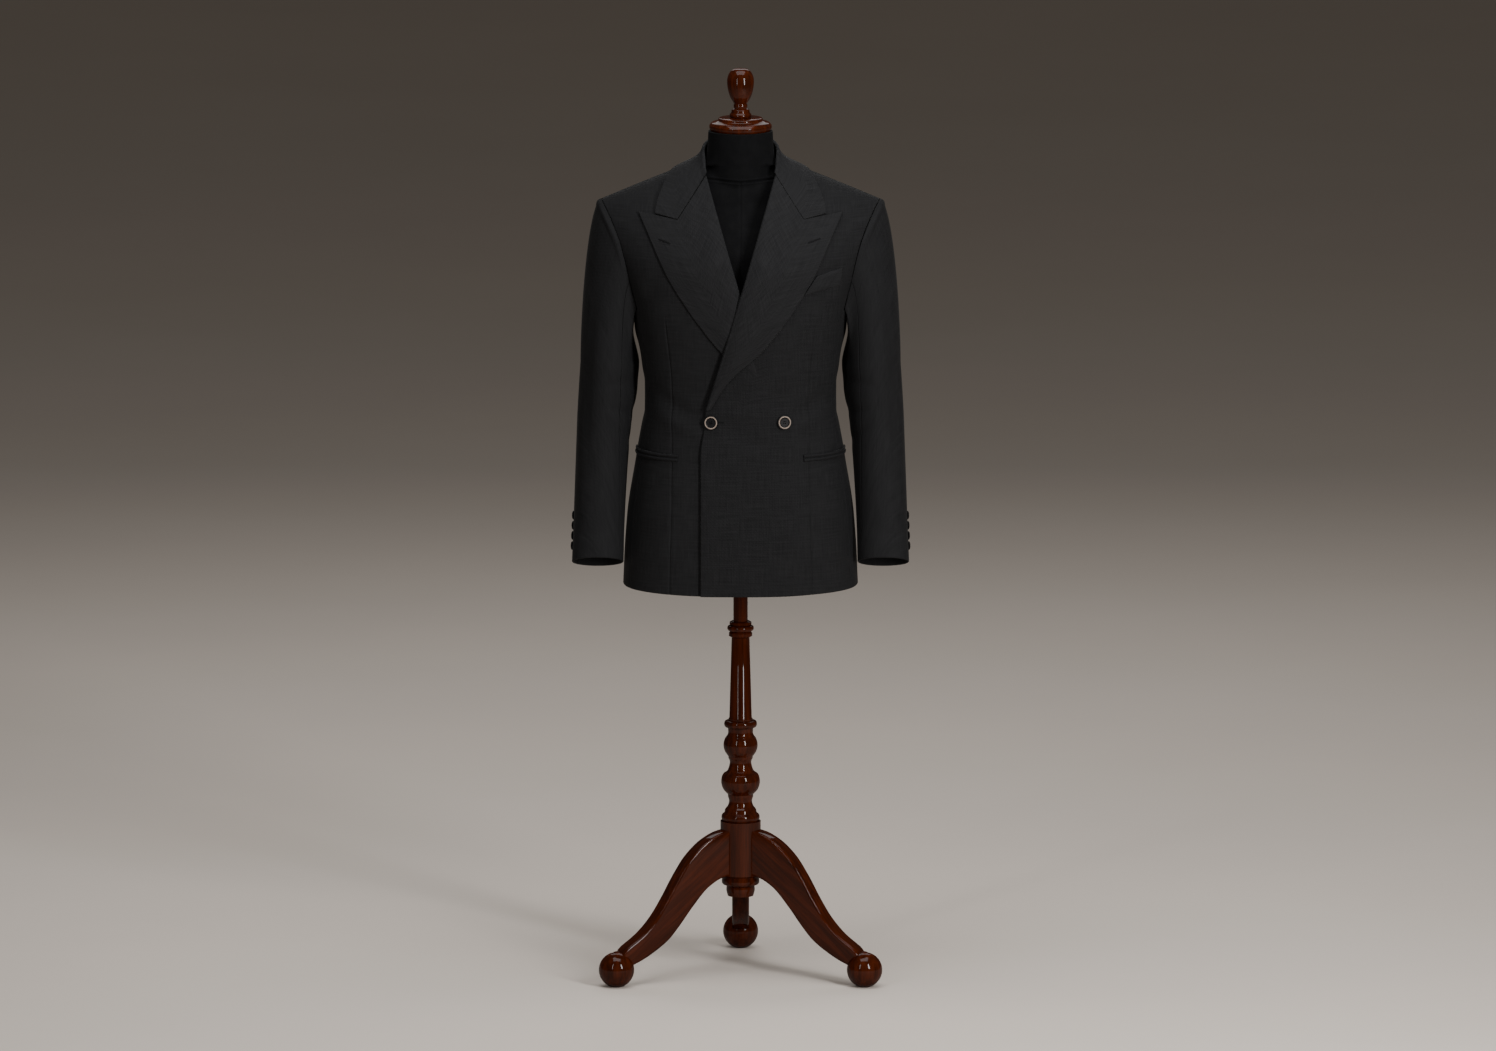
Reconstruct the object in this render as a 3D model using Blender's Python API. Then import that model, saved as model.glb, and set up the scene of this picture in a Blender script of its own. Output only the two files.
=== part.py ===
"""Double-breasted suit jacket on a limbless dress form with a turned tripod stand.

Lengths are in metres, +Z is up, the jacket faces -Y and the floor is Z = 0. Every shape is worked out
round the axis of the stand's post, x = y = 0, and an empty then carries all the pieces to AXIS_Y, which
puts the world origin under the middle of the bounding box.

The jacket's cloth is one smooth body form, cut into panels. Below the armpit a panel follows level rings,
and above it a sheet that rolls over the shoulder ridge. What lies on a panel, such as a lapel, a welt or a
jetting, is made from the same form, moved out along its normal.
"""

import math

import bmesh
import bpy
import numpy as np
from mathutils import Vector

MM = 0.001
GAP = 0.3 * MM  # clearance between two pieces that touch or are sewn together
CLOTH = 2.4 * MM  # body cloth with its canvas
LAPEL_CLOTH = 2.0 * MM
SLEEVE_CLOTH = 2.2 * MM
WELT_CLOTH = 1.4 * MM

# ---- stand sizes -------------------------------------------------------------------------------------
FOOT_REACH = 0.250  # from the post's axis to the middle of each ball foot
FOOT_RADIUS = 0.031
FOOT_FLAT = 0.009  # radius of the flat that a ball foot rests on
LEG_THICK = 0.030
LEG_ANGLES = {"right": -30.0, "left": 210.0, "back": 90.0}  # degrees from +X
HUB_RADIUS = 0.0353
ROD_RADIUS = 0.0125
COLUMN_TOP = 0.6262
FORM_BASE = 0.745
NECK_TOP = 1.4925
AXIS_Y = -FOOT_REACH / 4  # half-way between the front feet and the back foot

# ---- jacket sizes ------------------------------------------------------------------------------------
HEM_Z = 0.695
HEM_DIP = 0.005  # the front hem hangs this much lower than the sides
ARMPIT_Z = 1.185
RIDGE_Y = 0.010  # the shoulder seam lies this far behind the axis
NECK_X = 0.078  # where the shoulder seam meets the neckline
NECK_Z = 1.4375
NAPE_FILL = 0.70  # the back neckline dips to this share of the back's depth
NAPE_ROLL_DEPTH = 0.078
SHOULDER_SLOPE = 0.385
SHOULDER_DROOP = 0.118  # per metre, how the slope steepens towards the sleeve
ROLL_DEPTH = 0.18  # drop below the ridge at which the chest and the back reach full depth
FRONT_POWER = 2.5  # superellipse powers: the chest is squarer than the back
BACK_POWER = 2.3
FRONT_SEAM = 70.0  # degrees round from the front, where front meets side body
BACK_SEAM = 116.0
BREAK_X, BREAK_Z = -0.060, 1.018  # where the lapel's roll starts, just above the button
FRONT_EDGE_X = 0.069
GORGE = (0.0585, 1.4205)  # top of the roll line, as (x, z)
NOTCH = (0.1090, 1.3480)
COLLAR_CORNER = (0.1480, 1.3560)
PEAK = (0.1770, 1.3575)
LAPEL_STAND = {"over": 0.0024, "under": 0.0015}  # each lapel lies this far over its front
ROLL_RADIUS = {"over": 0.0038, "under": 0.0030}  # outside radius of each lapel's fold
OVER_LIFT = 0.0034  # the overlapping front lies this far out from the one below it,
OVER_LAPEL_LIFT = 0.0036  # and this much further where the lower lapel is in between
BUTTON_Z = 0.9965
BUTTON_X = {"left": 0.0750, "right": -0.0506}  # the wearer's left is at +X
BUTTON_RADIUS = 0.0128
CUFF_BUTTON_RADIUS = 0.0075
CUFF_BUTTONS = 4
CUFF_BUTTON_Z, CUFF_BUTTON_PITCH = 0.7640, 0.0172  # the lowest one, and the step up to the next
POCKET_Z = 0.932
POCKET_START_X = 0.109
POCKET_LENGTH = 0.143
JET_HEIGHT = 0.0062

BODY_LEVELS = (
    # level,   z,    half_width, front, back
    ("hem", 0.690, 0.2050, 0.128, 0.1170),
    ("seat", 0.822, 0.1955, 0.129, 0.1185),
    ("pocket", 0.929, 0.1805, 0.125, 0.1090),
    ("waist", 1.026, 0.1668, 0.120, 0.0960),
    ("ribs", 1.088, 0.1725, 0.126, 0.1010),
    ("armpit", 1.185, 0.1895, 0.135, 0.1150),
    ("blade", 1.250, 0.2110, 0.134, 0.1200),
    ("chest_top", 1.310, 0.2370, 0.126, 0.1160),
    ("shoulder", 1.372, 0.2600, 0.115, 0.1060),
    ("nape", 1.450, 0.2850, 0.102, 0.0960),
)
ARMHOLE = (
    # z,     x: the seam between body and sleeve, seen from the front
    (1.185, 0.1815),
    (1.232, 0.1925),
    (1.268, 0.2000),
    (1.304, 0.2097),
    (1.332, 0.2210),
    (1.357, 0.2335),
    (1.372, 0.2426),
)
LAPEL_EDGE = (
    # share of the way from peak to break, x, z
    (0.00, 0.1770, 1.3575),
    (0.12, 0.1610, 1.3250),
    (0.34, 0.1280, 1.2550),
    (0.66, 0.0440, 1.1330),
    (0.86, -0.0250, 1.0640),
    (1.00, -0.0510, 1.0190),
)
SLEEVE_STATIONS = (
    # name,      z,     x,      y,    half_width, half_depth, tilt in degrees
    ("biceps", 1.085, 0.2305, 0.0060, 0.0485, 0.0720, 0.0),
    ("elbow", 1.005, 0.2360, 0.0040, 0.0480, 0.0665, 3.0),
    ("forearm", 0.900, 0.2425, -0.0100, 0.0455, 0.0570, 9.0),
    ("wrist", 0.800, 0.2470, -0.0300, 0.0445, 0.0485, 15.0),
    ("cuff", 0.7385, 0.2490, -0.0450, 0.0450, 0.0440, 19.0),
)
COLLAR_FOLD = (
    # share of the way from nape to gorge, then the fold as x, y, z
    (0.00, (0.0000, 0.0680, 1.4770)),
    (0.20, (0.0335, 0.0585, 1.4750)),
    (0.40, (0.0575, 0.0330, 1.4680)),
    (0.58, (0.0630, 0.0020, 1.4600)),
    (0.75, (0.0620, -0.0230, 1.4485)),
    (0.90, (0.0605, -0.0430, 1.4335)),
    (1.00, (0.0590, -0.0535, 1.4258)),
)
COLLAR_EDGE = (
    # share, then the fall's outer edge on the body form as x and lean (degrees from the shoulder ridge)
    (0.00, (0.0000, -28.0)),
    (0.20, (0.0480, -20.0)),
    (0.40, (0.0870, -15.5)),
    (0.58, (0.1115, -3.0)),
    (0.75, (0.1265, 14.0)),
    (0.90, (0.1400, 31.0)),
    (1.00, (0.1480, 39.5)),
)
FORM_LEVELS = (
    # level,       z,    half_width, front, back, power
    ("base", 0.745, 0.1720, 0.1050, 0.1000, 2.3),
    ("hip", 0.850, 0.1720, 0.1080, 0.1040, 2.3),
    ("waist", 1.020, 0.1480, 0.0990, 0.0800, 2.3),
    ("chest", 1.180, 0.1660, 0.1150, 0.1000, 2.3),
    ("armplate", 1.260, 0.1720, 0.1120, 0.1060, 2.3),
    ("upper_arm", 1.320, 0.1760, 0.0950, 0.0960, 2.2),
    ("shoulder", 1.362, 0.1780, 0.0780, 0.0800, 2.1),
)
COLUMN_PROFILE = (
    # radius, z: the turned post from its collar down to the hub
    (0.0160, 0.6262), (0.0190, 0.6245), (0.0192, 0.6205), (0.0175, 0.6190),
    (0.0222, 0.6170), (0.0232, 0.6138), (0.0222, 0.6105), (0.0180, 0.6080),
    (0.0204, 0.6050), (0.0204, 0.6000), (0.0156, 0.5972), (0.0196, 0.4552),
    (0.0212, 0.4530), (0.0210, 0.4505), (0.0270, 0.4490), (0.0287, 0.4440),
    (0.0270, 0.4390), (0.0222, 0.4375), (0.0222, 0.4260), (0.0272, 0.4180),
    (0.0299, 0.4083), (0.0278, 0.3960), (0.0214, 0.3862), (0.0214, 0.3835),
    (0.0192, 0.3790), (0.0200, 0.3690), (0.0235, 0.3605), (0.0305, 0.3550),
    (0.0339, 0.3440), (0.0308, 0.3290), (0.0222, 0.3190), (0.0222, 0.3155),
    (0.0202, 0.3080), (0.0225, 0.2985), (0.0272, 0.2920), (0.0285, 0.2870),
    (0.0325, 0.2830), (0.0334, 0.2775), (0.0318, 0.2723),
)
HUB_PROFILE = (
    # radius, z
    (0.0353, 0.2720), (0.0353, 0.1770), (0.0320, 0.1745), (0.0314, 0.1600),
    (0.0245, 0.1575), (0.0250, 0.1490), (0.0225, 0.1390),
)
CAP_PROFILE = (
    # radius, z: the turned disc on the neck
    (0.0330, 1.5150), (0.0380, 1.5138), (0.0392, 1.5105), (0.0425, 1.5085),
    (0.0505, 1.5060), (0.0543, 1.5015), (0.0543, 1.4970), (0.0520, 1.4930),
)
FINIAL_PROFILE = (
    # radius, z
    (0.0120, 1.6005), (0.0190, 1.5940), (0.0228, 1.5845), (0.0233, 1.5760),
    (0.0218, 1.5640), (0.0175, 1.5500), (0.0112, 1.5395), (0.0120, 1.5355),
    (0.0112, 1.5315), (0.0155, 1.5280), (0.0160, 1.5245), (0.0188, 1.5210),
    (0.0190, 1.5185), (0.0178, 1.5153),
)
LEG_SECTIONS = (
    # distance from the axis, z of the top edge, z of the bottom edge
    (0.0260, 0.2590, 0.1790),
    (0.0440, 0.2560, 0.1755),
    (0.0720, 0.2445, 0.1610),
    (0.1040, 0.2195, 0.1290),
    (0.1310, 0.1840, 0.0970),
    (0.1530, 0.1485, 0.0745),
    (0.1770, 0.1150, 0.0585),
    (0.2050, 0.0880, 0.0440),
    (0.2340, 0.0690, 0.0330),
)

# colours are linear RGB
MATERIALS = {
    "suit_wool": {"color": (0.0110, 0.0112, 0.0118), "roughness": 0.85, "metallic": 0.0},
    "form_jersey": {"color": (0.0045, 0.0045, 0.0048), "roughness": 0.9, "metallic": 0.0},
    "dark_wood": {"color": (0.055, 0.014, 0.005), "roughness": 0.2, "metallic": 0.0},
    "button_horn": {"color": (0.006, 0.006, 0.008), "roughness": 0.25, "metallic": 0.0},
}


# ---- small helpers -----------------------------------------------------------------------------------
def clamp(value, low=0.0, high=1.0):
    return max(low, min(high, value))


def ramp(value, start, end):
    """0 before start, 1 after end, smooth between them."""
    share = clamp((value - start) / (end - start))
    return share * share * (3 - 2 * share)


def through(rows, key, column):
    """A smooth function of rows[key] through rows[column], with no overshoot between rows."""
    keys = np.array([row[key] for row in rows], float)
    values = np.array([row[column] for row in rows], float)
    steps = np.diff(keys)
    slopes = (np.diff(values, axis=0).T / steps).T
    tangents = np.zeros_like(values)
    tangents[0], tangents[-1] = slopes[0], slopes[-1]
    for i in range(1, len(keys) - 1):
        same_way = slopes[i - 1] * slopes[i] > 0
        mean = 2 * slopes[i - 1] * slopes[i] / np.where(same_way, slopes[i - 1] + slopes[i], 1.0)
        tangents[i] = np.where(same_way, mean, 0.0)

    def at(where):
        i = int(clamp(np.searchsorted(keys, where) - 1, 0, len(steps) - 1))
        t = (clamp(where, keys[0], keys[-1]) - keys[i]) / steps[i]
        return (
            (2 * t**3 - 3 * t**2 + 1) * values[i]
            + (t**3 - 2 * t**2 + t) * steps[i] * tangents[i]
            + (3 * t**2 - 2 * t**3) * values[i + 1]
            + (t**3 - t**2) * steps[i] * tangents[i + 1]
        )

    return at


def unit(vector):
    return vector / max(np.linalg.norm(vector), 1e-12)


def array(*numbers):
    return np.array(numbers, float)


# ---- the jacket's body form --------------------------------------------------------------------------
half_width = through(BODY_LEVELS, 1, 2)
front_depth = through(BODY_LEVELS, 1, 3)
back_depth = through(BODY_LEVELS, 1, 4)
armhole_x = through(ARMHOLE, 0, 1)
lapel_edge_x = through(LAPEL_EDGE, 0, 1)
lapel_edge_z = through(LAPEL_EDGE, 0, 2)


def ring_point(angle, z):
    """The body form at a level: angle is in degrees, 0 at the middle front and positive towards +X."""
    turn = math.radians(angle)
    back = math.cos(turn) < 0
    power = 2 / (BACK_POWER if back else FRONT_POWER)
    depth = back_depth(z) if back else -front_depth(z)
    across = math.copysign(abs(math.sin(turn)) ** power, math.sin(turn))
    return array(half_width(z) * across, depth * abs(math.cos(turn)) ** power, z)


def ring_angle(x, z):
    """The front angle at which the ring passes over x."""
    across = clamp(abs(x) / half_width(z)) ** (FRONT_POWER / 2)
    return math.copysign(math.degrees(math.asin(across)), x)


def ridge_z(x):
    out = abs(x) - NECK_X
    return NECK_Z - SHOULDER_SLOPE * out - SHOULDER_DROOP * out * abs(out)


def roll_depth(x, back):
    """Drop below the ridge at which the sheet reaches full depth: less at the nape, which stands up."""
    if not back:
        return ROLL_DEPTH
    return NAPE_ROLL_DEPTH + (ROLL_DEPTH - NAPE_ROLL_DEPTH) * ramp(abs(x), 0.0, 0.12)


def ring_depth(x, z, back):
    """Depth of the level ring over x, as if the shoulders went straight up."""
    power = BACK_POWER if back else FRONT_POWER
    depth = back_depth(z) if back else -front_depth(z)
    return depth * max(0.0, 1 - (abs(x) / half_width(z)) ** power) ** (1 / power)


def sheet_depth(x, z, back):
    """How far forward or back the body form reaches over x at a height above the armpit."""
    drop = max(0.0, ridge_z(x) - z)
    fill = math.sqrt(1 - (1 - min(1.0, drop / roll_depth(x, back))) ** 2)
    return RIDGE_Y + (ring_depth(x, z, back) - RIDGE_Y) * fill


def sheet_top(x, back):
    """Height of the sheet's top edge over x: the shoulder ridge, or the neckline at the back."""
    if not back or abs(x) >= NECK_X:
        return ridge_z(x)
    share = abs(x) / NECK_X
    fill = NAPE_FILL * math.sqrt(1 - share**2)
    return ridge_z(x) - roll_depth(x, back) * (1 - math.sqrt(1 - fill**2))


def sheet_point(x, lean):
    """The body form above the armpit: lean is 90 degrees at the armpit's level and 0 at the sheet's top,
    positive on the front and negative on the back."""
    back = lean < 0
    z = ARMPIT_Z + (sheet_top(x, back) - ARMPIT_Z) * math.cos(math.radians(lean))
    return array(x, sheet_depth(x, z, back), z)


def normal_of(surface, u, v, step_u, step_v):
    along_u = surface(u + step_u, v) - surface(u - step_u, v)
    along_v = surface(u, v + step_v) - surface(u, v - step_v)
    return unit(np.cross(along_u, along_v))


def ring_normal(angle, z):
    return normal_of(ring_point, angle, z, 0.5, 0.5 * MM)


def sheet_normal(x, lean):
    """Outward normal of the sheet. The step keeps to one side of the ridge, where the sheet is smooth."""
    side = math.copysign(1.0, lean)
    lean = side * clamp(abs(lean), 0.8, 89.2)
    normal = normal_of(sheet_point, x, lean, 0.5 * MM, 0.5)
    up = array(SHOULDER_SLOPE * math.copysign(1.0, x), 0.0, 1.0)
    normal = -normal if normal @ array(0.0, -side, 0.5) < 0 else normal
    near_ridge = 1 - ramp(abs(lean), 0.0, 6.0)
    if side < 0:
        near_ridge *= ramp(abs(x), NECK_X - 0.02, NECK_X)
    return unit(normal * (1 - near_ridge) + unit(up) * near_ridge)


def lean_at(x, z, side=1.0):
    """The lean at which the sheet passes height z."""
    share = (z - ARMPIT_Z) / (sheet_top(x, side < 0) - ARMPIT_Z)
    return side * math.degrees(math.acos(clamp(share)))


def front_frame(x, z):
    """Point and outward normal of the body form's front over (x, z)."""
    if z <= ARMPIT_Z:
        angle = ring_angle(x, z)
        return ring_point(angle, z), ring_normal(angle, z)
    lean = lean_at(x, z)
    return sheet_point(x, lean), sheet_normal(x, lean)


def on_front(x, z, lift):
    point, normal = front_frame(x, z)
    return point + normal * lift


def over_lift(x, z, side):
    """How far the overlapping front stands off the body form, to lie over the other front and its lapel."""
    if side < 0:
        return 0.0
    lift = OVER_LIFT + OVER_LAPEL_LIFT * ramp(z, 0.98, BREAK_Z)
    return lift * (1 - ramp(z, 1.235, 1.34)) * (1 - ramp(x, 0.072, 0.135))


# ---- making meshes -----------------------------------------------------------------------------------
def mesh_object(name, build, material):
    """An object named for its piece, from a function that fills a bmesh."""
    form = bmesh.new()
    build(form)
    bmesh.ops.remove_doubles(form, verts=form.verts, dist=1e-6)
    bmesh.ops.recalc_face_normals(form, faces=form.faces)
    mesh = bpy.data.meshes.new(name)
    form.to_mesh(mesh)
    form.free()
    mesh.shade_smooth()
    mesh.set_sharp_from_angle(angle=math.radians(40))
    mesh.materials.append(material)
    piece = bpy.data.objects.new(name, mesh)
    bpy.context.scene.collection.objects.link(piece)
    return piece


def wall(outer, inner):
    """A function that fills a bmesh with the wall between two grids of points."""

    def build(form):
        rows, columns = len(outer), len(outer[0])
        skins = [[[form.verts.new(p) for p in row] for row in grid] for grid in (outer, inner)]
        for skin in skins:
            for i in range(rows - 1):
                for j in range(columns - 1):
                    form.faces.new((skin[i][j], skin[i][j + 1], skin[i + 1][j + 1], skin[i + 1][j]))
        out, back = skins
        rim = [(i, 0) for i in range(rows)]
        rim += [(rows - 1, j) for j in range(1, columns)]
        rim += [(i, columns - 1) for i in range(rows - 2, -1, -1)]
        rim += [(0, j) for j in range(columns - 2, 0, -1)]
        for (i, j), (k, m) in zip(rim, rim[1:] + rim[:1]):
            form.faces.new((out[i][j], out[k][m], back[k][m], back[i][j]))

    return build


def loft(rings):
    """A function that fills a bmesh with the solid through closed rings, capped at both ends."""

    def build(form):
        made = [[form.verts.new(p) for p in ring] for ring in rings]
        for low, high in zip(made, made[1:]):
            for j in range(len(low)):
                k = (j + 1) % len(low)
                form.faces.new((low[j], low[k], high[k], high[j]))
        form.faces.new(made[0])
        form.faces.new(made[-1][::-1])

    return build


def turned(profile, segments, place=None):
    """A function that fills a bmesh with a profile of (radius, z) spun round Z, its ends closed by flats.
    place maps each finished point, for a piece that isn't on the axis."""

    def build(form):
        points = [(0.0, profile[0][1]), *profile, (0.0, profile[-1][1])]
        verts = [form.verts.new((radius, 0.0, z)) for radius, z in points]
        edges = [form.edges.new(pair) for pair in zip(verts, verts[1:])]
        bmesh.ops.spin(
            form, geom=verts + edges, cent=(0, 0, 0), axis=(0, 0, 1), dvec=(0, 0, 0),
            angle=math.tau, steps=segments, use_merge=True, use_duplicate=False,
        )
        bmesh.ops.remove_doubles(form, verts=form.verts, dist=1e-6)
        for vert in form.verts if place else ():
            vert.co = place(vert.co)

    return build


# ---- jacket body panels ------------------------------------------------------------------------------
LOW_RISES = (0.0, 0.075, 0.150, 0.236, 0.290, 0.323, 0.385, 0.440, 0.490)  # hem to armpit
LEANS = (90.0, 76.0, 62.0, 48.0, 35.0, 23.0, 12.0, 5.0, 0.0)  # armpit to shoulder ridge
ROLL_SET_BACK = ROLL_RADIUS["over"] + 4 * GAP  # the front's own edge stays inside the lapel's fold


def hem_z(angle):
    """Height of the hem round the body: it dips a little at the middle front."""
    return HEM_Z - HEM_DIP * math.cos(math.radians(angle) / 2) ** 8


def level_z(rise, angle):
    """Height of a level row: the lowest row follows the hem, and the others are flat."""
    return hem_z(angle) if rise == 0.0 else HEM_Z + rise


def roll_x(z):
    """The lapel's roll line, from the break point to the gorge."""
    share = (z - BREAK_Z) / (GORGE[1] - BREAK_Z)
    return BREAK_X + (GORGE[0] - BREAK_X) * share


def front_edge_x(z):
    """Inner edge of the overlapping front: its straight edge, then the roll line, then the neckline."""
    if z < BREAK_Z:
        return -FRONT_EDGE_X + (BREAK_X + FRONT_EDGE_X) * ramp(z, 0.93, BREAK_Z)
    if z <= GORGE[1]:
        return roll_x(z) + ROLL_SET_BACK
    neck_share = clamp((z - GORGE[1]) / (NECK_Z - GORGE[1]))
    start = GORGE[0] + ROLL_SET_BACK
    return start + (NECK_X - start) * neck_share


def dart_x(z):
    """The long front dart, which runs from the chest through the pocket to the hem."""
    return 0.120 + 0.012 * ramp(z, 1.05, 1.20) + 0.004 * (1 - ramp(z, 0.70, 0.85))


def edge_on_sheet(edge, lean):
    """Where a row of the sheet meets an edge that is given as x for each z."""
    x = edge(ARMPIT_Z)
    for _ in range(12):
        x = 0.5 * x + 0.5 * edge(sheet_point(x, lean)[2])
    return x


def front_rows(side):
    """Points and normals of a front panel, row by row from hem to shoulder, column by column from the
    inner edge to the side seam. side is +1 for the overlapping front, at +X, and -1 for the other."""
    inner, outer = 6, 3  # columns before and after the dart
    rows = []
    for rise in LOW_RISES:
        z = HEM_Z + rise
        start, dart = ring_angle(front_edge_x(z), z), ring_angle(dart_x(z), z)
        seam = FRONT_SEAM - math.degrees(GAP / 2 / half_width(z))
        angles = [start + (dart - start) * j / inner for j in range(inner)]
        angles += [dart + (seam - dart) * j / outer for j in range(outer + 1)]
        row = []
        for angle in angles:
            level = level_z(rise, angle)
            row.append((ring_point(angle, level), ring_normal(angle, level)))
        rows.append(row)
    base = np.array([point[0] for point, _ in rows[-1]])
    shares = (base - base[0]) / (base[-1] - base[0])
    for lean in LEANS[1:]:
        start = edge_on_sheet(front_edge_x, lean)
        end = edge_on_sheet(armhole_x, lean) - GAP
        row = []
        for share in shares:
            x = start + (end - start) * share
            point = sheet_point(x, lean)
            point[1] -= GAP / 2 if lean == 0.0 else 0.0
            row.append((point, sheet_normal(x, max(lean, 0.001))))
        rows.append(row)
    return [
        [(p + n * over_lift(p[0], p[2], side), n) for p, n in row]
        for row in rows
    ]


def side_rows():
    """The side body: from hem to armhole between the front and back seams."""
    columns = 4
    rows = []
    for rise in LOW_RISES:
        row = []
        for j in range(columns + 1):
            share = j / columns
            gap = math.degrees(GAP / 2 / half_width(HEM_Z + rise))
            angle = FRONT_SEAM + gap + (BACK_SEAM - FRONT_SEAM - 2 * gap) * share
            z = level_z(rise, angle)
            if rise == LOW_RISES[-1]:
                z -= 0.012 * math.sin(math.pi * share)
            row.append((ring_point(angle, z), ring_normal(angle, z)))
        rows.append(row)
    return rows


def back_rows():
    """A back panel: from the middle back seam to the side seam, armhole and shoulder."""
    columns = 6
    rows = []
    for rise in LOW_RISES:
        row = []
        gap = math.degrees(GAP / 2 / half_width(HEM_Z + rise))
        for j in range(columns + 1):
            angle = 180.0 + (BACK_SEAM + gap - 180.0) * j / columns
            z = level_z(rise, angle)
            point = ring_point(angle, z)
            point[0] = max(point[0], GAP / 2)
            row.append((point, ring_normal(angle, z)))
        rows.append(row)
    base = np.array([point[0] for point, _ in rows[-1]])
    shares = (base - base[0]) / (base[-1] - base[0])
    for lean in LEANS[1:]:
        end = edge_on_sheet(armhole_x, -max(lean, 0.001)) - GAP
        row = []
        for share in shares:
            x = GAP / 2 + (end - GAP / 2) * share
            point = sheet_point(x, -max(lean, 0.001))
            point[1] += GAP / 2 if lean == 0.0 else 0.0
            row.append((point, sheet_normal(x, -max(lean, 0.001))))
        rows.append(row)
    for row in rows:
        middle, normal = row[0]
        row[0] = (middle, unit(normal * array(0, 1, 1)))
    return rows


def mirrored(rows):
    flip = array(-1, 1, 1)
    return [[(p * flip, n * flip) for p, n in row] for row in rows]


def cloth_panel(name, rows, thickness, material):
    outer = [[p for p, _ in row] for row in rows]
    inner = [[p - n * thickness for p, n in row] for row in rows]
    return mesh_object(name, wall(outer, inner), material)


# ---- lapels ------------------------------------------------------------------------------------------
LAPEL_SHARES = (0.0, 0.05, 0.12, 0.22, 0.34, 0.50, 0.66, 0.80, 0.92, 1.0)
LAPEL_COLUMNS = 5
NOTCH_ACROSS = 0.42  # share of the lapel's top edge, from gorge to peak, at which the notch comes
LAPEL_START = {"over": 0.0025, "under": 0.0}  # the thicker lapel starts a little lower, clear of the collar
ROLL_TURNS = (90.0, 60.0, 30.0, 0.0, -30.0, -60.0, -90.0)


def corner_line(share, start, corner, end):
    """A two-part line through a corner, as (x, z)."""
    start, corner, end = array(*start), array(*corner), array(*end)
    if share < NOTCH_ACROSS:
        return start + (corner - start) * share / NOTCH_ACROSS
    return corner + (end - corner) * (share - NOTCH_ACROSS) / (1 - NOTCH_ACROSS)


def lapel_xz(share, across):
    """A point of the lapel as (x, z): share runs from peak to break, across from roll line to edge."""
    roll_z = GORGE[1] + (BREAK_Z - GORGE[1]) * share
    roll = array(roll_x(roll_z), roll_z)
    edge = array(lapel_edge_x(share), lapel_edge_z(share))
    straight = roll + (edge - roll) * across
    top = corner_line(across, GORGE, NOTCH, PEAK) - (array(*GORGE) + (array(*PEAK) - array(*GORGE)) * across)
    point = straight + top * (1 - ramp(share, 0.0, 0.40)) ** 1.5
    point[1] -= 1.5 * GAP * (1 - ramp(share, 0.0, 0.05))
    return point


def lapel_lift(across, layer):
    """How high a lapel's face stands over its front: most beside the roll, least at the edge."""
    high, low = 2 * ROLL_RADIUS[layer] - CLOTH, LAPEL_STAND[layer] + LAPEL_CLOTH
    return low + (high - low) * (1 - ramp(across, 0.0, 0.8))


def lapel_rows(side):
    """Points and normals of a lapel, from its outer edge over the roll to the edge of the front."""
    layer = "over" if side > 0 else "under"
    radius = ROLL_RADIUS[layer]
    rows = []
    for share in (LAPEL_START[layer], *LAPEL_SHARES[1:]):
        first = radius / np.linalg.norm(lapel_xz(share, 1.0) - lapel_xz(share, 0.0))

        def face(xz, across):
            point, normal = front_frame(*xz)
            return point + normal * (over_lift(*xz, side) + lapel_lift(across, layer)), normal

        across = [first + (1 - first) * j / LAPEL_COLUMNS for j in range(LAPEL_COLUMNS, 0, -1)]
        row = [face(lapel_xz(share, at), at) for at in across]
        top, normal = face(lapel_xz(share, first), 0.0)
        inward = unit((row[-1][0] - top) - normal * ((row[-1][0] - top) @ normal))
        middle = top - normal * radius
        for turn in ROLL_TURNS:
            facing = normal * math.sin(math.radians(turn)) - inward * math.cos(math.radians(turn))
            row.append((middle + facing * radius, facing))
        rows.append(row)
    return rows


# ---- collar ------------------------------------------------------------------------------------------
COLLAR_CLOTH = 2.2 * MM
COLLAR_FOLD_RADIUS = 0.0034
FOOT_LIFT = GAP + 1.0 * MM  # the foot of the stand over the neckline
COLLAR_STAND_OFF = 0.0020  # the fall's edge lies this far over the shoulders
FALL_BELLY = 0.003  # how far the fall swells between its fold and its edge at the back,
FALL_HOLLOW = 0.006  # and how far it hollows over the shoulder
FALL_RISE = 0.0022  # how much higher the fall lies at its fold, where it is on the chest
SEAM_OFFSET = 0.9 * MM  # the collar's end stops this far over the lapel's top edge
COLLAR_SHARES = (0.0, 0.12, 0.24, 0.36, 0.47, 0.58, 0.68, 0.77, 0.85, 0.92, 0.97, 1.0)
NECK_SHARE = 0.58  # where the collar crosses the shoulder seam
collar_fold = through(COLLAR_FOLD, 0, 1)
collar_edge = through(COLLAR_EDGE, 0, 1)


def stand_foot(share):
    """Foot of the collar's stand, just over the neckline of the back and the front."""
    if share < NECK_SHARE:
        x = NECK_X * math.sin(math.pi / 2 * share / NECK_SHARE)
        return sheet_point(x, -0.001) + array(0, 0, FOOT_LIFT)
    z = NECK_Z + (GORGE[1] - NECK_Z) * (share - NECK_SHARE) / (1 - NECK_SHARE)
    return on_front(front_edge_x(z) + 0.5 * MM, z, FOOT_LIFT)


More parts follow.
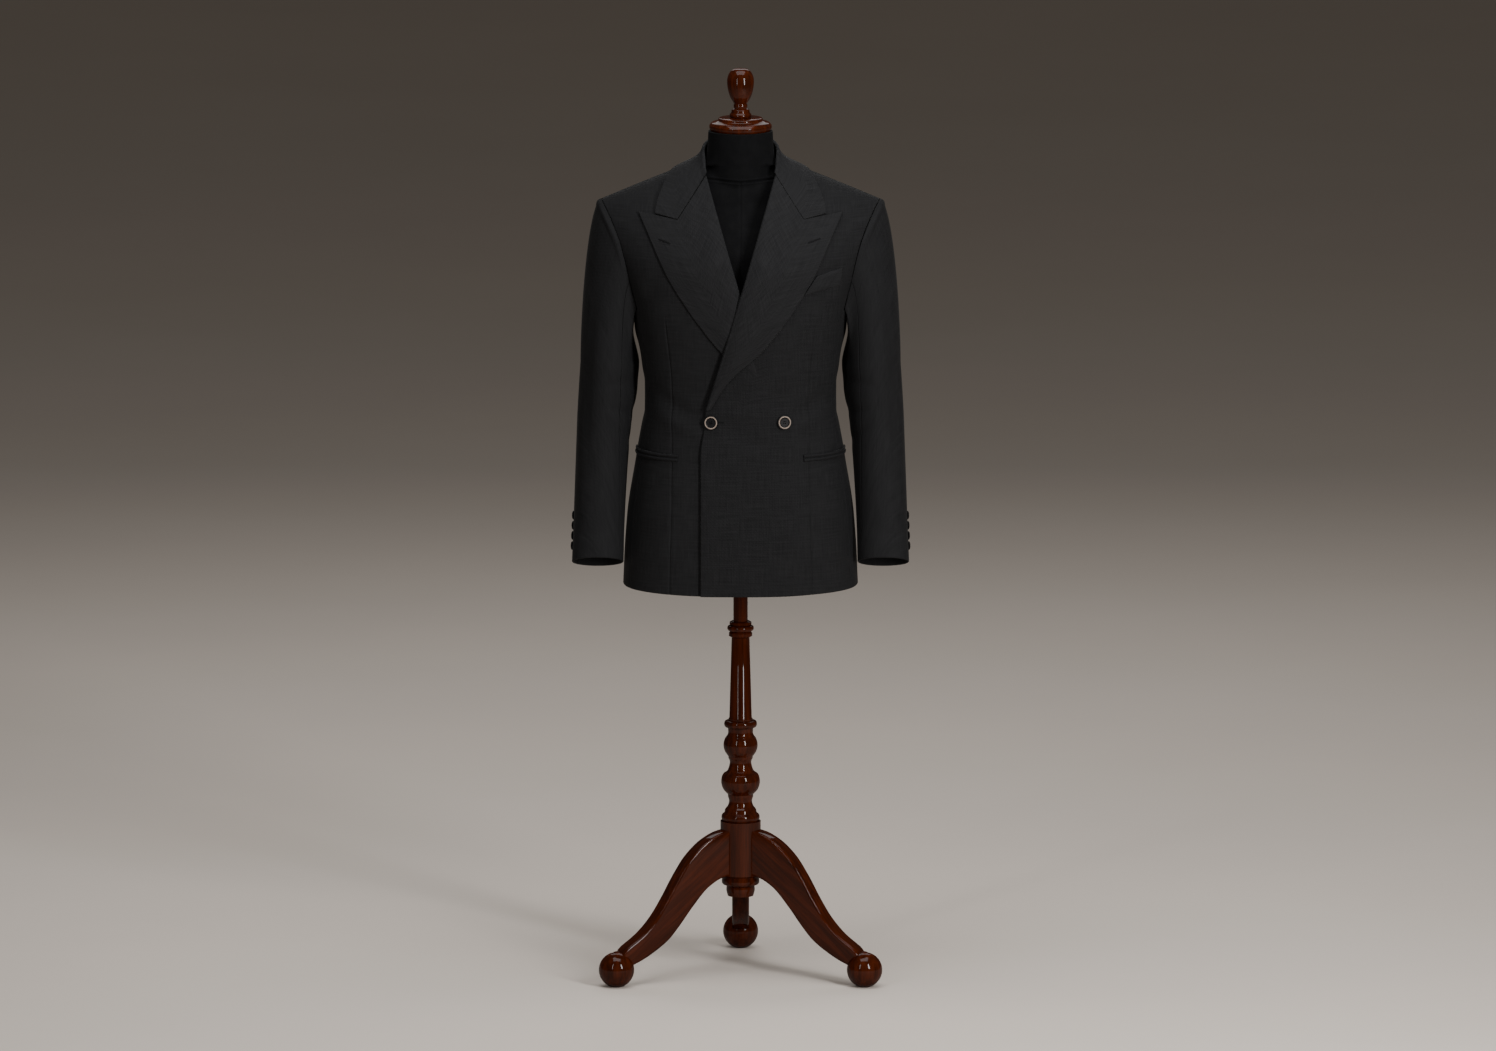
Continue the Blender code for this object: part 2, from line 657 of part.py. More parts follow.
def laid_on_chest(free, lift):
    """A point of the collar laid on the front. Near the shoulder ridge it moves towards the middle of the
    roll, and lower down straight back."""
    x, y, z = free
    reach, centre_z = RIDGE_Y - ring_depth(x, z, False), ridge_z(x) - ROLL_DEPTH
    turn = min(math.atan2((z - centre_z) / ROLL_DEPTH, (RIDGE_Y - y) / reach), math.radians(88.0))
    rolled = array(x, RIDGE_Y - reach * math.cos(turn), centre_z + ROLL_DEPTH * math.sin(turn))
    slope = SHOULDER_SLOPE + 2 * SHOULDER_DROOP * (abs(x) - NECK_X)
    steep, level = math.sin(turn) / ROLL_DEPTH, math.cos(turn) / reach
    out = unit(array(steep * slope, -level, steep))
    flat, normal = front_frame(x, min(z, ridge_z(x) - 0.5 * MM))
    low = ramp(ridge_z(x) - z, 0.004, 0.035)
    return rolled + (flat - rolled) * low + unit(out + (normal - out) * low) * lift


def third_bump(step):
    """A smooth bump from 0 to 0 that is 1 a third of the way along."""
    return 27 / 4 * step * (1 - step) ** 2


def collar_section(share):
    """The collar's visible side across one station: up the stand, over the fold and down the fall."""
    foot, fold = stand_foot(share), array(*collar_fold(share))
    edge_x, edge_lean = collar_edge(share)
    lift = COLLAR_CLOTH + COLLAR_STAND_OFF
    edge = sheet_point(edge_x, edge_lean) + sheet_normal(edge_x, edge_lean) * lift
    up, down, across = unit(fold - foot), unit(edge - fold), edge - foot
    neck_side = -unit(across - up * (across @ up))
    out_side = unit(across - down * (across @ down))
    middle = fold - unit(up - down) * COLLAR_FOLD_RADIUS
    stand_top = middle + neck_side * COLLAR_FOLD_RADIUS
    points = [foot + (stand_top - foot) * step for step in (0.0, 0.5)]
    turn = math.acos(clamp(neck_side @ out_side, -1.0, 1.0))
    for step in (0.0, 0.25, 0.5, 0.75, 1.0):
        facing = neck_side * math.cos(turn * step) + up * math.sin(turn * step)
        points.append(middle + facing * COLLAR_FOLD_RADIUS)
    fall_top = points[-1]
    on_chest = ramp(share, 0.62, 0.85)
    belly = FALL_BELLY - (FALL_BELLY + FALL_HOLLOW) * ramp(share, 0.1, 0.45)
    sewn = ramp(share, 0.93, 1.0)  # near its end the fall runs out on the seam with the lapel
    for step in (0.08, 0.2, NOTCH_ACROSS, 0.6, 0.8, 1.0):
        free = fall_top + (edge - fall_top) * step + out_side * belly * third_bump(step)
        seam = corner_line(step, GORGE, NOTCH, COLLAR_CORNER)
        dip = seam - array(*GORGE) - (array(*COLLAR_CORNER) - array(*GORGE)) * step
        dip *= ramp(share, 0.80, 1.0) ** 2
        free_lift = lift + FALL_RISE * (1 - step)
        laid = laid_on_chest(free + array(dip[0], 0, dip[1]), free_lift)
        past_notch = ramp(step, NOTCH_ACROSS, NOTCH_ACROSS + 0.2)
        seam_lift = lapel_lift(step, "over") * (1 - past_notch) + free_lift * past_notch
        laid += (on_front(seam[0], seam[1] + SEAM_OFFSET, seam_lift) - laid) * sewn
        points.append(free * (1 - on_chest) + laid * on_chest)
    return points


def collar_rows():
    half = [collar_section(share) for share in COLLAR_SHARES]
    flip = array(-1, 1, 1)
    grid = [[p * flip for p in row] for row in half[:0:-1]] + half
    return grid_frames(grid)


def grid_frames(grid, closed=False, facing=1.0):
    """Points of a grid with their normals; closed says that each row joins up with its own start."""
    frames = []
    for i, row in enumerate(grid):
        before, after = grid[max(i - 1, 0)], grid[min(i + 1, len(grid) - 1)]
        line = []
        for j, point in enumerate(row):
            low = row[j - 1] if closed or j else point
            high = row[(j + 1) % len(row)] if closed or j < len(row) - 1 else point
            line.append((point, facing * unit(np.cross(after[j] - before[j], high - low))))
        frames.append(line)
    return frames


# ---- sleeves -----------------------------------------------------------------------------------------
SLEEVE_SPREAD = (0.0, 0.08, 0.2, 0.36, 0.54, 0.76)  # rings between the armhole and the biceps
SLEEVE_LEVELS = (1.085, 1.045, 1.005, 0.950, 0.900, 0.850, 0.800, 0.765, 0.7385)
SLEEVE_TWIST = 22.0  # degrees that the cloth turns round the arm from biceps to cuff
FOREARM_SEAM = 7  # column of the sleeve's ring at the seam on the front of the inner arm
HIND_SEAM = 17  # and at the seam on the back of the arm, with the cuff's buttons beside it
sleeve_station = [through(SLEEVE_STATIONS[::-1], 1, column) for column in range(2, 7)]


def armhole_loop():
    """The sleeve's end of the armhole, from the shoulder round the front, under the arm and up the back."""
    front = [sheet_point(edge_on_sheet(armhole_x, lean), lean) for lean in LEANS[:0:-1]]
    under = [side_rows()[-1][j][0] for j in range(5)]
    back = [
        sheet_point(edge_on_sheet(armhole_x, -lean), -lean)
        for lean in LEANS[1:-1]
    ]
    under = [p + array(GAP, 0, 0) for p in under]
    return front + under + back


def sleeve_ring(z, turns):
    x, y, width, depth, tilt = (float(value(z)) for value in sleeve_station)
    ring = []
    for turn in turns:
        fall = depth * -math.sin(turn)
        ring.append(array(
            x + width * math.cos(turn),
            y + fall * math.cos(math.radians(tilt)),
            z - fall * math.sin(math.radians(tilt)),
        ))
    return ring


def sleeve_frames():
    loop = armhole_loop()
    top_z, low_z = max(p[2] for p in loop), min(p[2] for p in loop)
    lengths = [np.linalg.norm(p - q) for p, q in zip(loop, loop[1:] + loop[:1])]
    even = [math.tau * j / len(loop) for j in range(len(loop))]
    by_length = [math.tau * sum(lengths[:j]) / sum(lengths) for j in range(len(loop))]
    mix = [0.5 * a + 0.5 * b for a, b in zip(even, by_length)]
    biceps = sleeve_ring(SLEEVE_LEVELS[0], mix)
    rings = []
    for t in SLEEVE_SPREAD:
        ring = []
        for start, end in zip(loop, biceps):
            reach = np.linalg.norm(end - start)
            high = (start[2] - low_z) / (top_z - low_z)
            leave = reach * array(0.24, 0.0, -0.42 + 0.35 * high)
            arrive = reach * array(0.0, -0.03, -1.0)
            ring.append(
                (2 * t**3 - 3 * t**2 + 1) * start
                + (t**3 - 2 * t**2 + t) * leave
                + (3 * t**2 - 2 * t**3) * end
                + (t**3 - t**2) * arrive
            )
        rings.append(ring)
    for z in SLEEVE_LEVELS:
        share = ramp(z, SLEEVE_LEVELS[0], SLEEVE_LEVELS[-1])
        twist = math.radians(SLEEVE_TWIST) * share
        rings.append(sleeve_ring(z, [m + (e - m) * share + twist for m, e in zip(mix, even)]))
    frames = grid_frames(rings, closed=True, facing=-1.0)
    frames[0] = [(p, unit(n * array(1.0 if n[0] < 0 else 0.0, 1, 1))) for p, n in frames[0]]
    return frames


def cuff_button_frame(frames, z):
    """Point and normal at height z on the column beside the hind-arm seam."""
    line = [ring[HIND_SEAM + 1] for ring in frames]
    low = next(i for i, (point, _) in enumerate(line) if point[2] < z)
    (above, up), (below, down) = line[low - 1], line[low]
    share = (above[2] - z) / (above[2] - below[2])
    return above + (below - above) * share, unit(up + (down - up) * share)


def sleeve_piece(frames, first, last):
    """The columns of a sleeve from first to last, drawn in at each seam to part it from its neighbour."""
    rows = []
    for ring in frames:
        count = len(ring)
        row = [ring[j % count] for j in range(first, last + 1)]
        ends = []
        for here, beside in ((row[0], row[1]), (row[-1], row[-2])):
            ends.append((here[0] + unit(beside[0] - here[0]) * GAP * 0.8, here[1]))
        rows.append([ends[0], *row[1:-1], ends[1]])
    return rows


# ---- pockets and buttons -----------------------------------------------------------------------------
WELT_CORNERS = (
    # corner, x, z: the breast welt, from under the lapel's edge to its outer end
    ("inner_bottom", 0.1095, 1.2215),
    ("outer_bottom", 0.1740, 1.2335),
    ("outer_top", 0.1755, 1.2645),
    ("inner_top", 0.1330, 1.2540),
)


def welt_rows():
    corner = {name: array(x, z) for name, x, z in WELT_CORNERS}
    rows = []
    for up in (0.0, 0.5, 1.0):
        inner = corner["inner_bottom"] + (corner["inner_top"] - corner["inner_bottom"]) * up
        outer = corner["outer_bottom"] + (corner["outer_top"] - corner["outer_bottom"]) * up
        row = []
        for along in (0.0, 0.34, 0.67, 1.0):
            x, z = inner + (outer - inner) * along
            point, normal = front_frame(x, z)
            row.append((point + normal * (over_lift(x, z, 1) + 3 * GAP + WELT_CLOTH), normal))
        rows.append(row)
    return rows


def jet_rows(side):
    """The two jettings of a hip pocket as one strip with the mouth as a groove along its middle."""
    angles, length = [ring_angle(POCKET_START_X, POCKET_Z)], 0.0
    while length < POCKET_LENGTH:
        here = ring_point(angles[-1], POCKET_Z)
        angles.append(angles[-1] + 0.5)
        length += np.linalg.norm(ring_point(angles[-1], POCKET_Z) - here)
    columns = 9
    rows = []
    for rise, height in ((-1.0, 0.5), (-0.9, 1.0), (-0.12, 1.0), (0.0, 0.45), (0.12, 1.0), (0.9, 1.0), (1.0, 0.5)):
        row = []
        for j in range(columns + 1):
            angle = angles[0] + (angles[-1] - angles[0]) * j / columns
            z = POCKET_Z + rise * JET_HEIGHT
            point, normal = ring_point(angle, z), ring_normal(angle, z)
            lift = over_lift(point[0], z, side) + 2 * GAP
            row.append((point + normal * (lift + WELT_CLOTH * height), point + normal * lift))
        rows.append(row)
    return rows


BUTTON_PROFILE = (
    # share of the radius, height: a domed back, a rolled rim and a dished middle
    (0.50, 0.0), (0.86, 0.0008), (1.00, 0.0022), (0.96, 0.0036),
    (0.86, 0.0040), (0.70, 0.0034), (0.40, 0.0030),
)


def button(radius, point, normal, thickness=1.0, sides=20):
    """A turned button whose back stands on the point and whose face looks along the normal."""
    turn = Vector((0, 0, 1)).rotation_difference(Vector(normal))
    profile = [(share * radius, height * thickness) for share, height in BUTTON_PROFILE]
    return turned(profile[::-1], sides, place=lambda co: Vector(point) + turn @ co)


def front_button(name):
    x = BUTTON_X[name]
    point, normal = front_frame(x, BUTTON_Z)
    return button(BUTTON_RADIUS, point + normal * (over_lift(x, BUTTON_Z, 1) + 3 * GAP), normal)


# ---- dress form --------------------------------------------------------------------------------------
FORM_SIDES = 40
FORM_RINGS = (
    0.745, 0.750, 0.850, 0.940, 1.020, 1.100, 1.180, 1.235, 1.280, 1.315,
    1.345, 1.370, 1.388, 1.402, 1.414, 1.424, 1.4322,
)
FORM_SEAT = CLOTH + 0.0015  # the form's shoulder lies this far under the cloth's outer side
NECK_RINGS = (
    # half_width, half_depth, z
    (0.0660, 0.0555, 1.4360),
    (0.0600, 0.0560, 1.4440),
    (0.0580, 0.0570, 1.4600),
    (0.0567, 0.0567, 1.4780),
    (0.0560, 0.0560, NECK_TOP - 0.0015),
    (0.0545, 0.0545, NECK_TOP),
)
form_level = [through(FORM_LEVELS, 1, column) for column in range(2, 6)]


def form_ridge_x(z):
    """Where the form's shoulder ridge passes height z."""
    drop = NECK_Z - FORM_SEAT - z
    root = math.sqrt(SHOULDER_SLOPE**2 + 4 * SHOULDER_DROOP * max(0.0, drop))
    return NECK_X + (root - SHOULDER_SLOPE) / (2 * SHOULDER_DROOP)


def form_ring(z):
    width, front, back, power = (float(value(z)) for value in form_level)
    reach = min(width, form_ridge_x(z))
    ring = []
    for j in range(FORM_SIDES):
        turn = math.tau * j / FORM_SIDES
        x = reach * math.copysign(abs(math.sin(turn)) ** (2 / power), math.sin(turn))
        depth = -front if math.cos(turn) >= 0 else back
        y = depth * max(0.0, 1 - (abs(x) / width) ** power) ** (1 / power)
        if z > ARMPIT_Z:
            drop = max(0.0, ridge_z(x) - FORM_SEAT - z)
            fill = math.sqrt(1 - (1 - min(1.0, drop / roll_depth(x, depth > 0))) ** 2)
            y = RIDGE_Y + (y - RIDGE_Y) * fill
        ring.append(array(x, y, z))
    if z == FORM_RINGS[0]:
        return [p * array(0.985, 0.985, 1) for p in ring]
    return ring


def form_rings():
    rings = [form_ring(z) for z in FORM_RINGS]
    turns = [math.tau * j / FORM_SIDES for j in range(FORM_SIDES)]
    for width, depth, z in NECK_RINGS:
        rings.append([array(width * math.sin(t), -depth * math.cos(t), z) for t in turns])
    return rings


# ---- stand -------------------------------------------------------------------------------------------
def leg_grids():
    """Top and bottom skins of a leg that runs out along +X, with its long edges eased."""
    half, eased, drop = LEG_THICK / 2, LEG_THICK / 2 - 0.005, 0.0035
    sides = ((-half, drop), (-eased, 0.0), (0.0, 0.0), (eased, 0.0), (half, drop))
    top = [[array(reach, y, high - low) for y, low in sides] for reach, high, _ in LEG_SECTIONS]
    bottom = [[array(reach, y, foot + low) for y, low in sides] for reach, _, foot in LEG_SECTIONS]
    return top, bottom


def ball_profile(radius, flat):
    """A ball that stands on a flat, as (radius, z) from its top to its foot."""
    foot = math.asin(-math.sqrt(radius**2 - flat**2) / radius)
    lift = math.sqrt(radius**2 - flat**2)
    profile = []
    for step in range(9):
        turn = math.radians(84) + (foot - math.radians(84)) * step / 8
        profile.append((radius * math.cos(turn), lift + radius * math.sin(turn)))
    return profile


def cut(piece, build, name):
    """Take the shape of a hidden cutter out of a piece."""
    cutter = mesh_object(name, build, piece.data.materials[0])
    cutter.hide_render = True
    cutter.display_type = "WIRE"
    taken = piece.modifiers.new(name, "BOOLEAN")
    taken.object = cutter
    return cutter


def make_stand(material):
    bore = [(ROD_RADIUS + GAP, COLUMN_TOP - 0.060), (ROD_RADIUS + GAP, COLUMN_TOP)]
    rod = [(ROD_RADIUS, FORM_BASE - GAP), (ROD_RADIUS, COLUMN_TOP - 0.060 + GAP)]
    hub_top = HUB_PROFILE[0][1]
    mesh_object("column", turned([*bore, *COLUMN_PROFILE, (0.0318, hub_top + GAP)], 22), material)
    mesh_object("hub", turned(HUB_PROFILE, 24), material)
    mesh_object("rod", turned(rod, 20), material)
    mesh_object("neck_cap", turned(CAP_PROFILE, 28), material)
    mesh_object("finial", turned(FINIAL_PROFILE, 18), material)
    top, bottom = leg_grids()
    for name, angle in LEG_ANGLES.items():
        turn = math.radians(angle)
        leg = mesh_object(f"leg_{name}", wall(top, bottom), material)
        leg.rotation_euler.z = turn
        hub_cutter = [(HUB_RADIUS + GAP, hub_top + 0.02), (HUB_RADIUS + GAP, HUB_PROFILE[-1][1] - 0.02)]
        cut(leg, turned(hub_cutter, 48), f"leg_{name}_hub_cutter")
        middle = Vector((FOOT_REACH * math.cos(turn), FOOT_REACH * math.sin(turn), 0.0))
        foot = mesh_object(f"foot_{name}", turned(ball_profile(FOOT_RADIUS, FOOT_FLAT), 16), material)
        foot.location = middle
        grown = ball_profile(FOOT_RADIUS + GAP, FOOT_FLAT)
        foot_cutter = cut(leg, turned(grown, 16), f"leg_{name}_foot_cutter")
        foot_cutter.location = middle


# ---- the whole ---------------------------------------------------------------------------------------
def make_materials():
    made = {}
    for name, look in MATERIALS.items():
        material = bpy.data.materials.new(name)
        material.use_nodes = True
        shader = material.node_tree.nodes["Principled BSDF"]
        shader.inputs["Base Color"].default_value = (*look["color"], 1.0)
        shader.inputs["Roughness"].default_value = look["roughness"]
        shader.inputs["Metallic"].default_value = look["metallic"]
        material.diffuse_color = (*look["color"], 1.0)
        made[name] = material
    return made


def make_jacket(wool, horn):
    sleeve = sleeve_frames()
    sides = {"left": (1, lambda rows: rows), "right": (-1, mirrored)}
    for name, (side, place) in sides.items():
        cloth_panel(f"front_{name}", place(front_rows(side)), CLOTH, wool)
        cloth_panel(f"side_{name}", place(side_rows()), CLOTH, wool)
        cloth_panel(f"back_{name}", place(back_rows()), CLOTH, wool)
        cloth_panel(f"lapel_{name}", place(lapel_rows(side)), LAPEL_CLOTH, wool)
        top = sleeve_piece(sleeve, HIND_SEAM, FOREARM_SEAM + len(sleeve[0]))
        under = sleeve_piece(sleeve, FOREARM_SEAM, HIND_SEAM)
        cloth_panel(f"top_sleeve_{name}", place(top), SLEEVE_CLOTH, wool)
        cloth_panel(f"under_sleeve_{name}", place(under), SLEEVE_CLOTH, wool)
        jets = place(jet_rows(side))
        outer = [[face for face, _ in row] for row in jets]
        inner = [[back for _, back in row] for row in jets]
        mesh_object(f"pocket_jets_{name}", wall(outer, inner), wool)
        for count in range(CUFF_BUTTONS):
            point, normal = cuff_button_frame(sleeve, CUFF_BUTTON_Z + CUFF_BUTTON_PITCH * count)
            [[(point, normal)]] = place([[(point, normal)]])
            shape = button(CUFF_BUTTON_RADIUS, point + normal * GAP, normal, thickness=0.8, sides=12)
            mesh_object(f"cuff_button_{name}_{count + 1}", shape, horn)
    cloth_panel("collar", collar_rows(), COLLAR_CLOTH, wool)
    cloth_panel("breast_welt", welt_rows(), WELT_CLOTH, wool)
    for name in BUTTON_X:
        mesh_object(f"front_button_{name}", front_button(name), horn)


def main():
    for piece in list(bpy.data.objects):
        bpy.data.objects.remove(piece, do_unlink=True)
    materials = make_materials()
    make_stand(materials["dark_wood"])
    mesh_object("form_torso", loft(form_rings()), materials["form_jersey"])
    make_jacket(materials["suit_wool"], materials["button_horn"])
    whole = bpy.data.objects.new("post_axis", None)
    bpy.context.scene.collection.objects.link(whole)
    whole.location.y = AXIS_Y
    for piece in bpy.data.objects:
        if piece is not whole:
            piece.parent = whole


main()
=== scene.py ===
"""Dressed scene of a double-breasted suit jacket on a limbless dress form with a turned tripod stand.

Lengths are in metres, +Z is up and the jacket faces -Y. Shapes are worked out round the axis of the
stand's post and moved to AXIS_Y as each mesh is made. The jacket's cloth is one smooth body form: every
panel, lapel, welt and button reads its place from it, and the creases are lifted out of it by a table.
"""

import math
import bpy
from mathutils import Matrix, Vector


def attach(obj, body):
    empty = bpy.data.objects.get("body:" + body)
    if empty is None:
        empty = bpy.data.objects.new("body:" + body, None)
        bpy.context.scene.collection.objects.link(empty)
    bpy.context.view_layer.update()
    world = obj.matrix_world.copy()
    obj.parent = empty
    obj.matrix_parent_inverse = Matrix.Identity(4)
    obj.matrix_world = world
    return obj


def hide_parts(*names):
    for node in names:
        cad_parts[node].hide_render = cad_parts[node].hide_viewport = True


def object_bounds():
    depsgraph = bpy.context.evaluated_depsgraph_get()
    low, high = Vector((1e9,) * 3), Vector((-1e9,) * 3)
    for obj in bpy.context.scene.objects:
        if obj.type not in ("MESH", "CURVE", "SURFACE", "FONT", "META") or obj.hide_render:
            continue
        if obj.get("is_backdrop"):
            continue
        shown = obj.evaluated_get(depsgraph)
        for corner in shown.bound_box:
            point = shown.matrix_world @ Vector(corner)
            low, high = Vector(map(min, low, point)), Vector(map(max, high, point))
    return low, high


bl_info = {
    "name": "Suit jacket on a dress form",
    "version": (1, 0),
    "blender": (4, 5, 0),
    "location": "View3D > Sidebar > Jacket",
    "description": "Makes a double-breasted jacket, its dress form and its turned tripod stand",
    "category": "Object",
}

import bpy
import numpy as np
from mathutils import Matrix, Vector

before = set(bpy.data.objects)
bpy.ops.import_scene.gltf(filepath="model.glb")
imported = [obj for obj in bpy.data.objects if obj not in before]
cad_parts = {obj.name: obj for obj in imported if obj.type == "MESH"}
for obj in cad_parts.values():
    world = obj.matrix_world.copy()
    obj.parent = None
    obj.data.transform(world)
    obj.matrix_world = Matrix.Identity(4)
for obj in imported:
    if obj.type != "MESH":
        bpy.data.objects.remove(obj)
CAD_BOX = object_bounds()

MM = 0.001
GAP = 0.3 * MM  # clearance between two pieces that touch or are sewn together
CLOTH = 2.4 * MM
LAPEL_CLOTH = 2.0 * MM
SLEEVE_CLOTH = 2.2 * MM
COLLAR_CLOTH = 2.2 * MM
WELT_CLOTH = 1.4 * MM
SEAM_REACH = 0.16 * MM  # a panel's rounded edge reaches this far into the gap, to meet its neighbour's
AXIS_Y = -0.0625  # the post's axis, with the world origin under the middle of the whole
LEVEL = np.array((1, 1, 0))  # what a point is multiplied by to point straight out from the axis

# ---- sizes of the jacket -----------------------------------------------------------------------------
HEM_Z = 0.695
HEM_DIP, HEM_DIP_REACH = 0.005, 0.075  # at the middle front, and how high it is felt
ARMPIT_Z = 1.185
ARMPIT_SCOOP = 0.012  # how far the armhole's foot dips between the side body's two seams
RIDGE_Y = 0.010
NECK_X = 0.078
NECK_Z = 1.4375
NAPE_FILL = 0.70
NAPE_ROLL_DEPTH = 0.078
SHOULDER_SLOPE = 0.385
SHOULDER_DROOP = 0.118
ROLL_DEPTH = 0.18  # below the shoulder ridge, where the body has filled out to its full depth
RIDGE_LEAN, RIDGE_STEEP = 6.0, 0.8  # degrees: see sheet_frame
FRONT_POWER, BACK_POWER = 2.5, 2.3
FRONT_SEAM, BACK_SEAM = 70.0, 116.0  # degrees round from the front
BREAK_X, BREAK_Z = -0.060, 1.018
FRONT_EDGE_X = 0.069
GORGE = (0.0585, 1.4205)
NOTCH = (0.1090, 1.3480)
COLLAR_CORNER = (0.1480, 1.3560)
PEAK = (0.1770, 1.3575)
LAPEL_STAND = {"over": 0.0024, "under": 0.0015}
ROLL_RADIUS = {"over": 0.0038, "under": 0.0030}
ROLL_SET_BACK = ROLL_RADIUS["over"] + 4 * GAP
OVER_LIFT, OVER_LAPEL_LIFT = 0.0034, 0.0036  # of the lapping front below, and what it gains at the break
OVER_SIDE, OVER_TOP = (0.072, 0.135), (1.235, 1.340)  # x and z over which it settles on the body
FREE_EDGE_X, FREE_EDGE_REACH, FREE_EDGE_TOP = -0.072, 0.024, (0.950, 0.985)
FREE_EDGE_SWING = 2.4 * MM  # how far its free edge swings out below the buttons
DART_X, DART_DEPTH, DART_WIDTH = 0.120, 1.1 * MM, 1.1 * MM
BACK_SEAM_HOLLOW, BACK_SEAM_WIDTH = 1.1 * MM, 6 * MM
BUTTON_Z = 0.9965
BUTTON_X = {"left": 0.0750, "right": -0.0506}
BUTTON_RADIUS, CUFF_BUTTON_RADIUS = 0.0128, 0.0075
BUTTON_HOLES, HOLE_RING, HOLE_RADIUS = 4, 0.17, 0.075  # the last two in shares of the radius
PALE_RING, PALE_RING_Z = (0.70, 0.86), 0.0022  # from and to in shares of the radius, and above this height
CUFF_BUTTONS, CUFF_BUTTON_Z, CUFF_BUTTON_PITCH = 4, 0.7640, 0.0172
CUFF_BUTTON_COLUMN = 18.0  # in twentieths round the arm: one off the hind-arm seam
POCKET_Z, POCKET_START_X, POCKET_LENGTH, JET_HEIGHT = 0.932, 0.109, 0.143, 0.0062
SIDES = {"left": 1, "right": -1}  # the wearer's left is at +X and laps over

BODY_LEVELS = (
    # z, half_width, front, back
    (0.690, 0.2050, 0.128, 0.1170),
    (0.822, 0.1955, 0.129, 0.1185),
    (0.929, 0.1805, 0.125, 0.1090),
    (1.026, 0.1668, 0.120, 0.0960),
    (1.088, 0.1725, 0.126, 0.1010),
    (1.185, 0.1895, 0.135, 0.1150),
    (1.250, 0.2110, 0.134, 0.1200),
    (1.310, 0.2370, 0.126, 0.1160),
    (1.372, 0.2600, 0.115, 0.1060),
    (1.450, 0.2850, 0.102, 0.0960),
)
ARMHOLE = (
    # z, x
    (1.185, 0.1815),
    (1.232, 0.1925),
    (1.268, 0.2000),
    (1.304, 0.2097),
    (1.332, 0.2210),
    (1.357, 0.2335),
    (1.372, 0.2426),
)
LAPEL_EDGE = (
    # share of the way from peak to break, x, z
    (0.00, 0.1770, 1.3575),
    (0.12, 0.1610, 1.3250),
    (0.34, 0.1280, 1.2550),
    (0.66, 0.0440, 1.1330),
    (0.86, -0.0250, 1.0640),
    (1.00, -0.0510, 1.0190),
)
SLEEVE_STATIONS = (
    # z, x, y, half_width, half_depth, tilt in degrees, from cuff to upper arm
    (0.7385, 0.2490, -0.0450, 0.0450, 0.0440, 19.0),
    (0.800, 0.2470, -0.0300, 0.0445, 0.0485, 15.0),
    (0.900, 0.2425, -0.0100, 0.0455, 0.0570, 9.0),
    (1.005, 0.2360, 0.0040, 0.0480, 0.0665, 3.0),
    (1.085, 0.2305, 0.0060, 0.0485, 0.0720, 0.0),
)
COLLAR_FOLD = (
    # share of the way from nape to gorge, then the fold as x, y, z
    (0.00, 0.0000, 0.0680, 1.4770),
    (0.20, 0.0335, 0.0585, 1.4750),
    (0.40, 0.0575, 0.0330, 1.4680),
    (0.58, 0.0630, 0.0020, 1.4600),
    (0.75, 0.0620, -0.0230, 1.4485),
    (0.90, 0.0605, -0.0430, 1.4335),
    (1.00, 0.0590, -0.0535, 1.4258),
)
COLLAR_EDGE = (
    # share, then the fall's outer edge on the body form as x and lean in degrees from the shoulder ridge
    (0.00, 0.0000, -28.0),
    (0.20, 0.0480, -20.0),
    (0.40, 0.0870, -15.5),
    (0.58, 0.1115, -3.0),
    (0.75, 0.1265, 14.0),
    (0.90, 0.1400, 31.0),
    (1.00, 0.1480, 39.5),
)
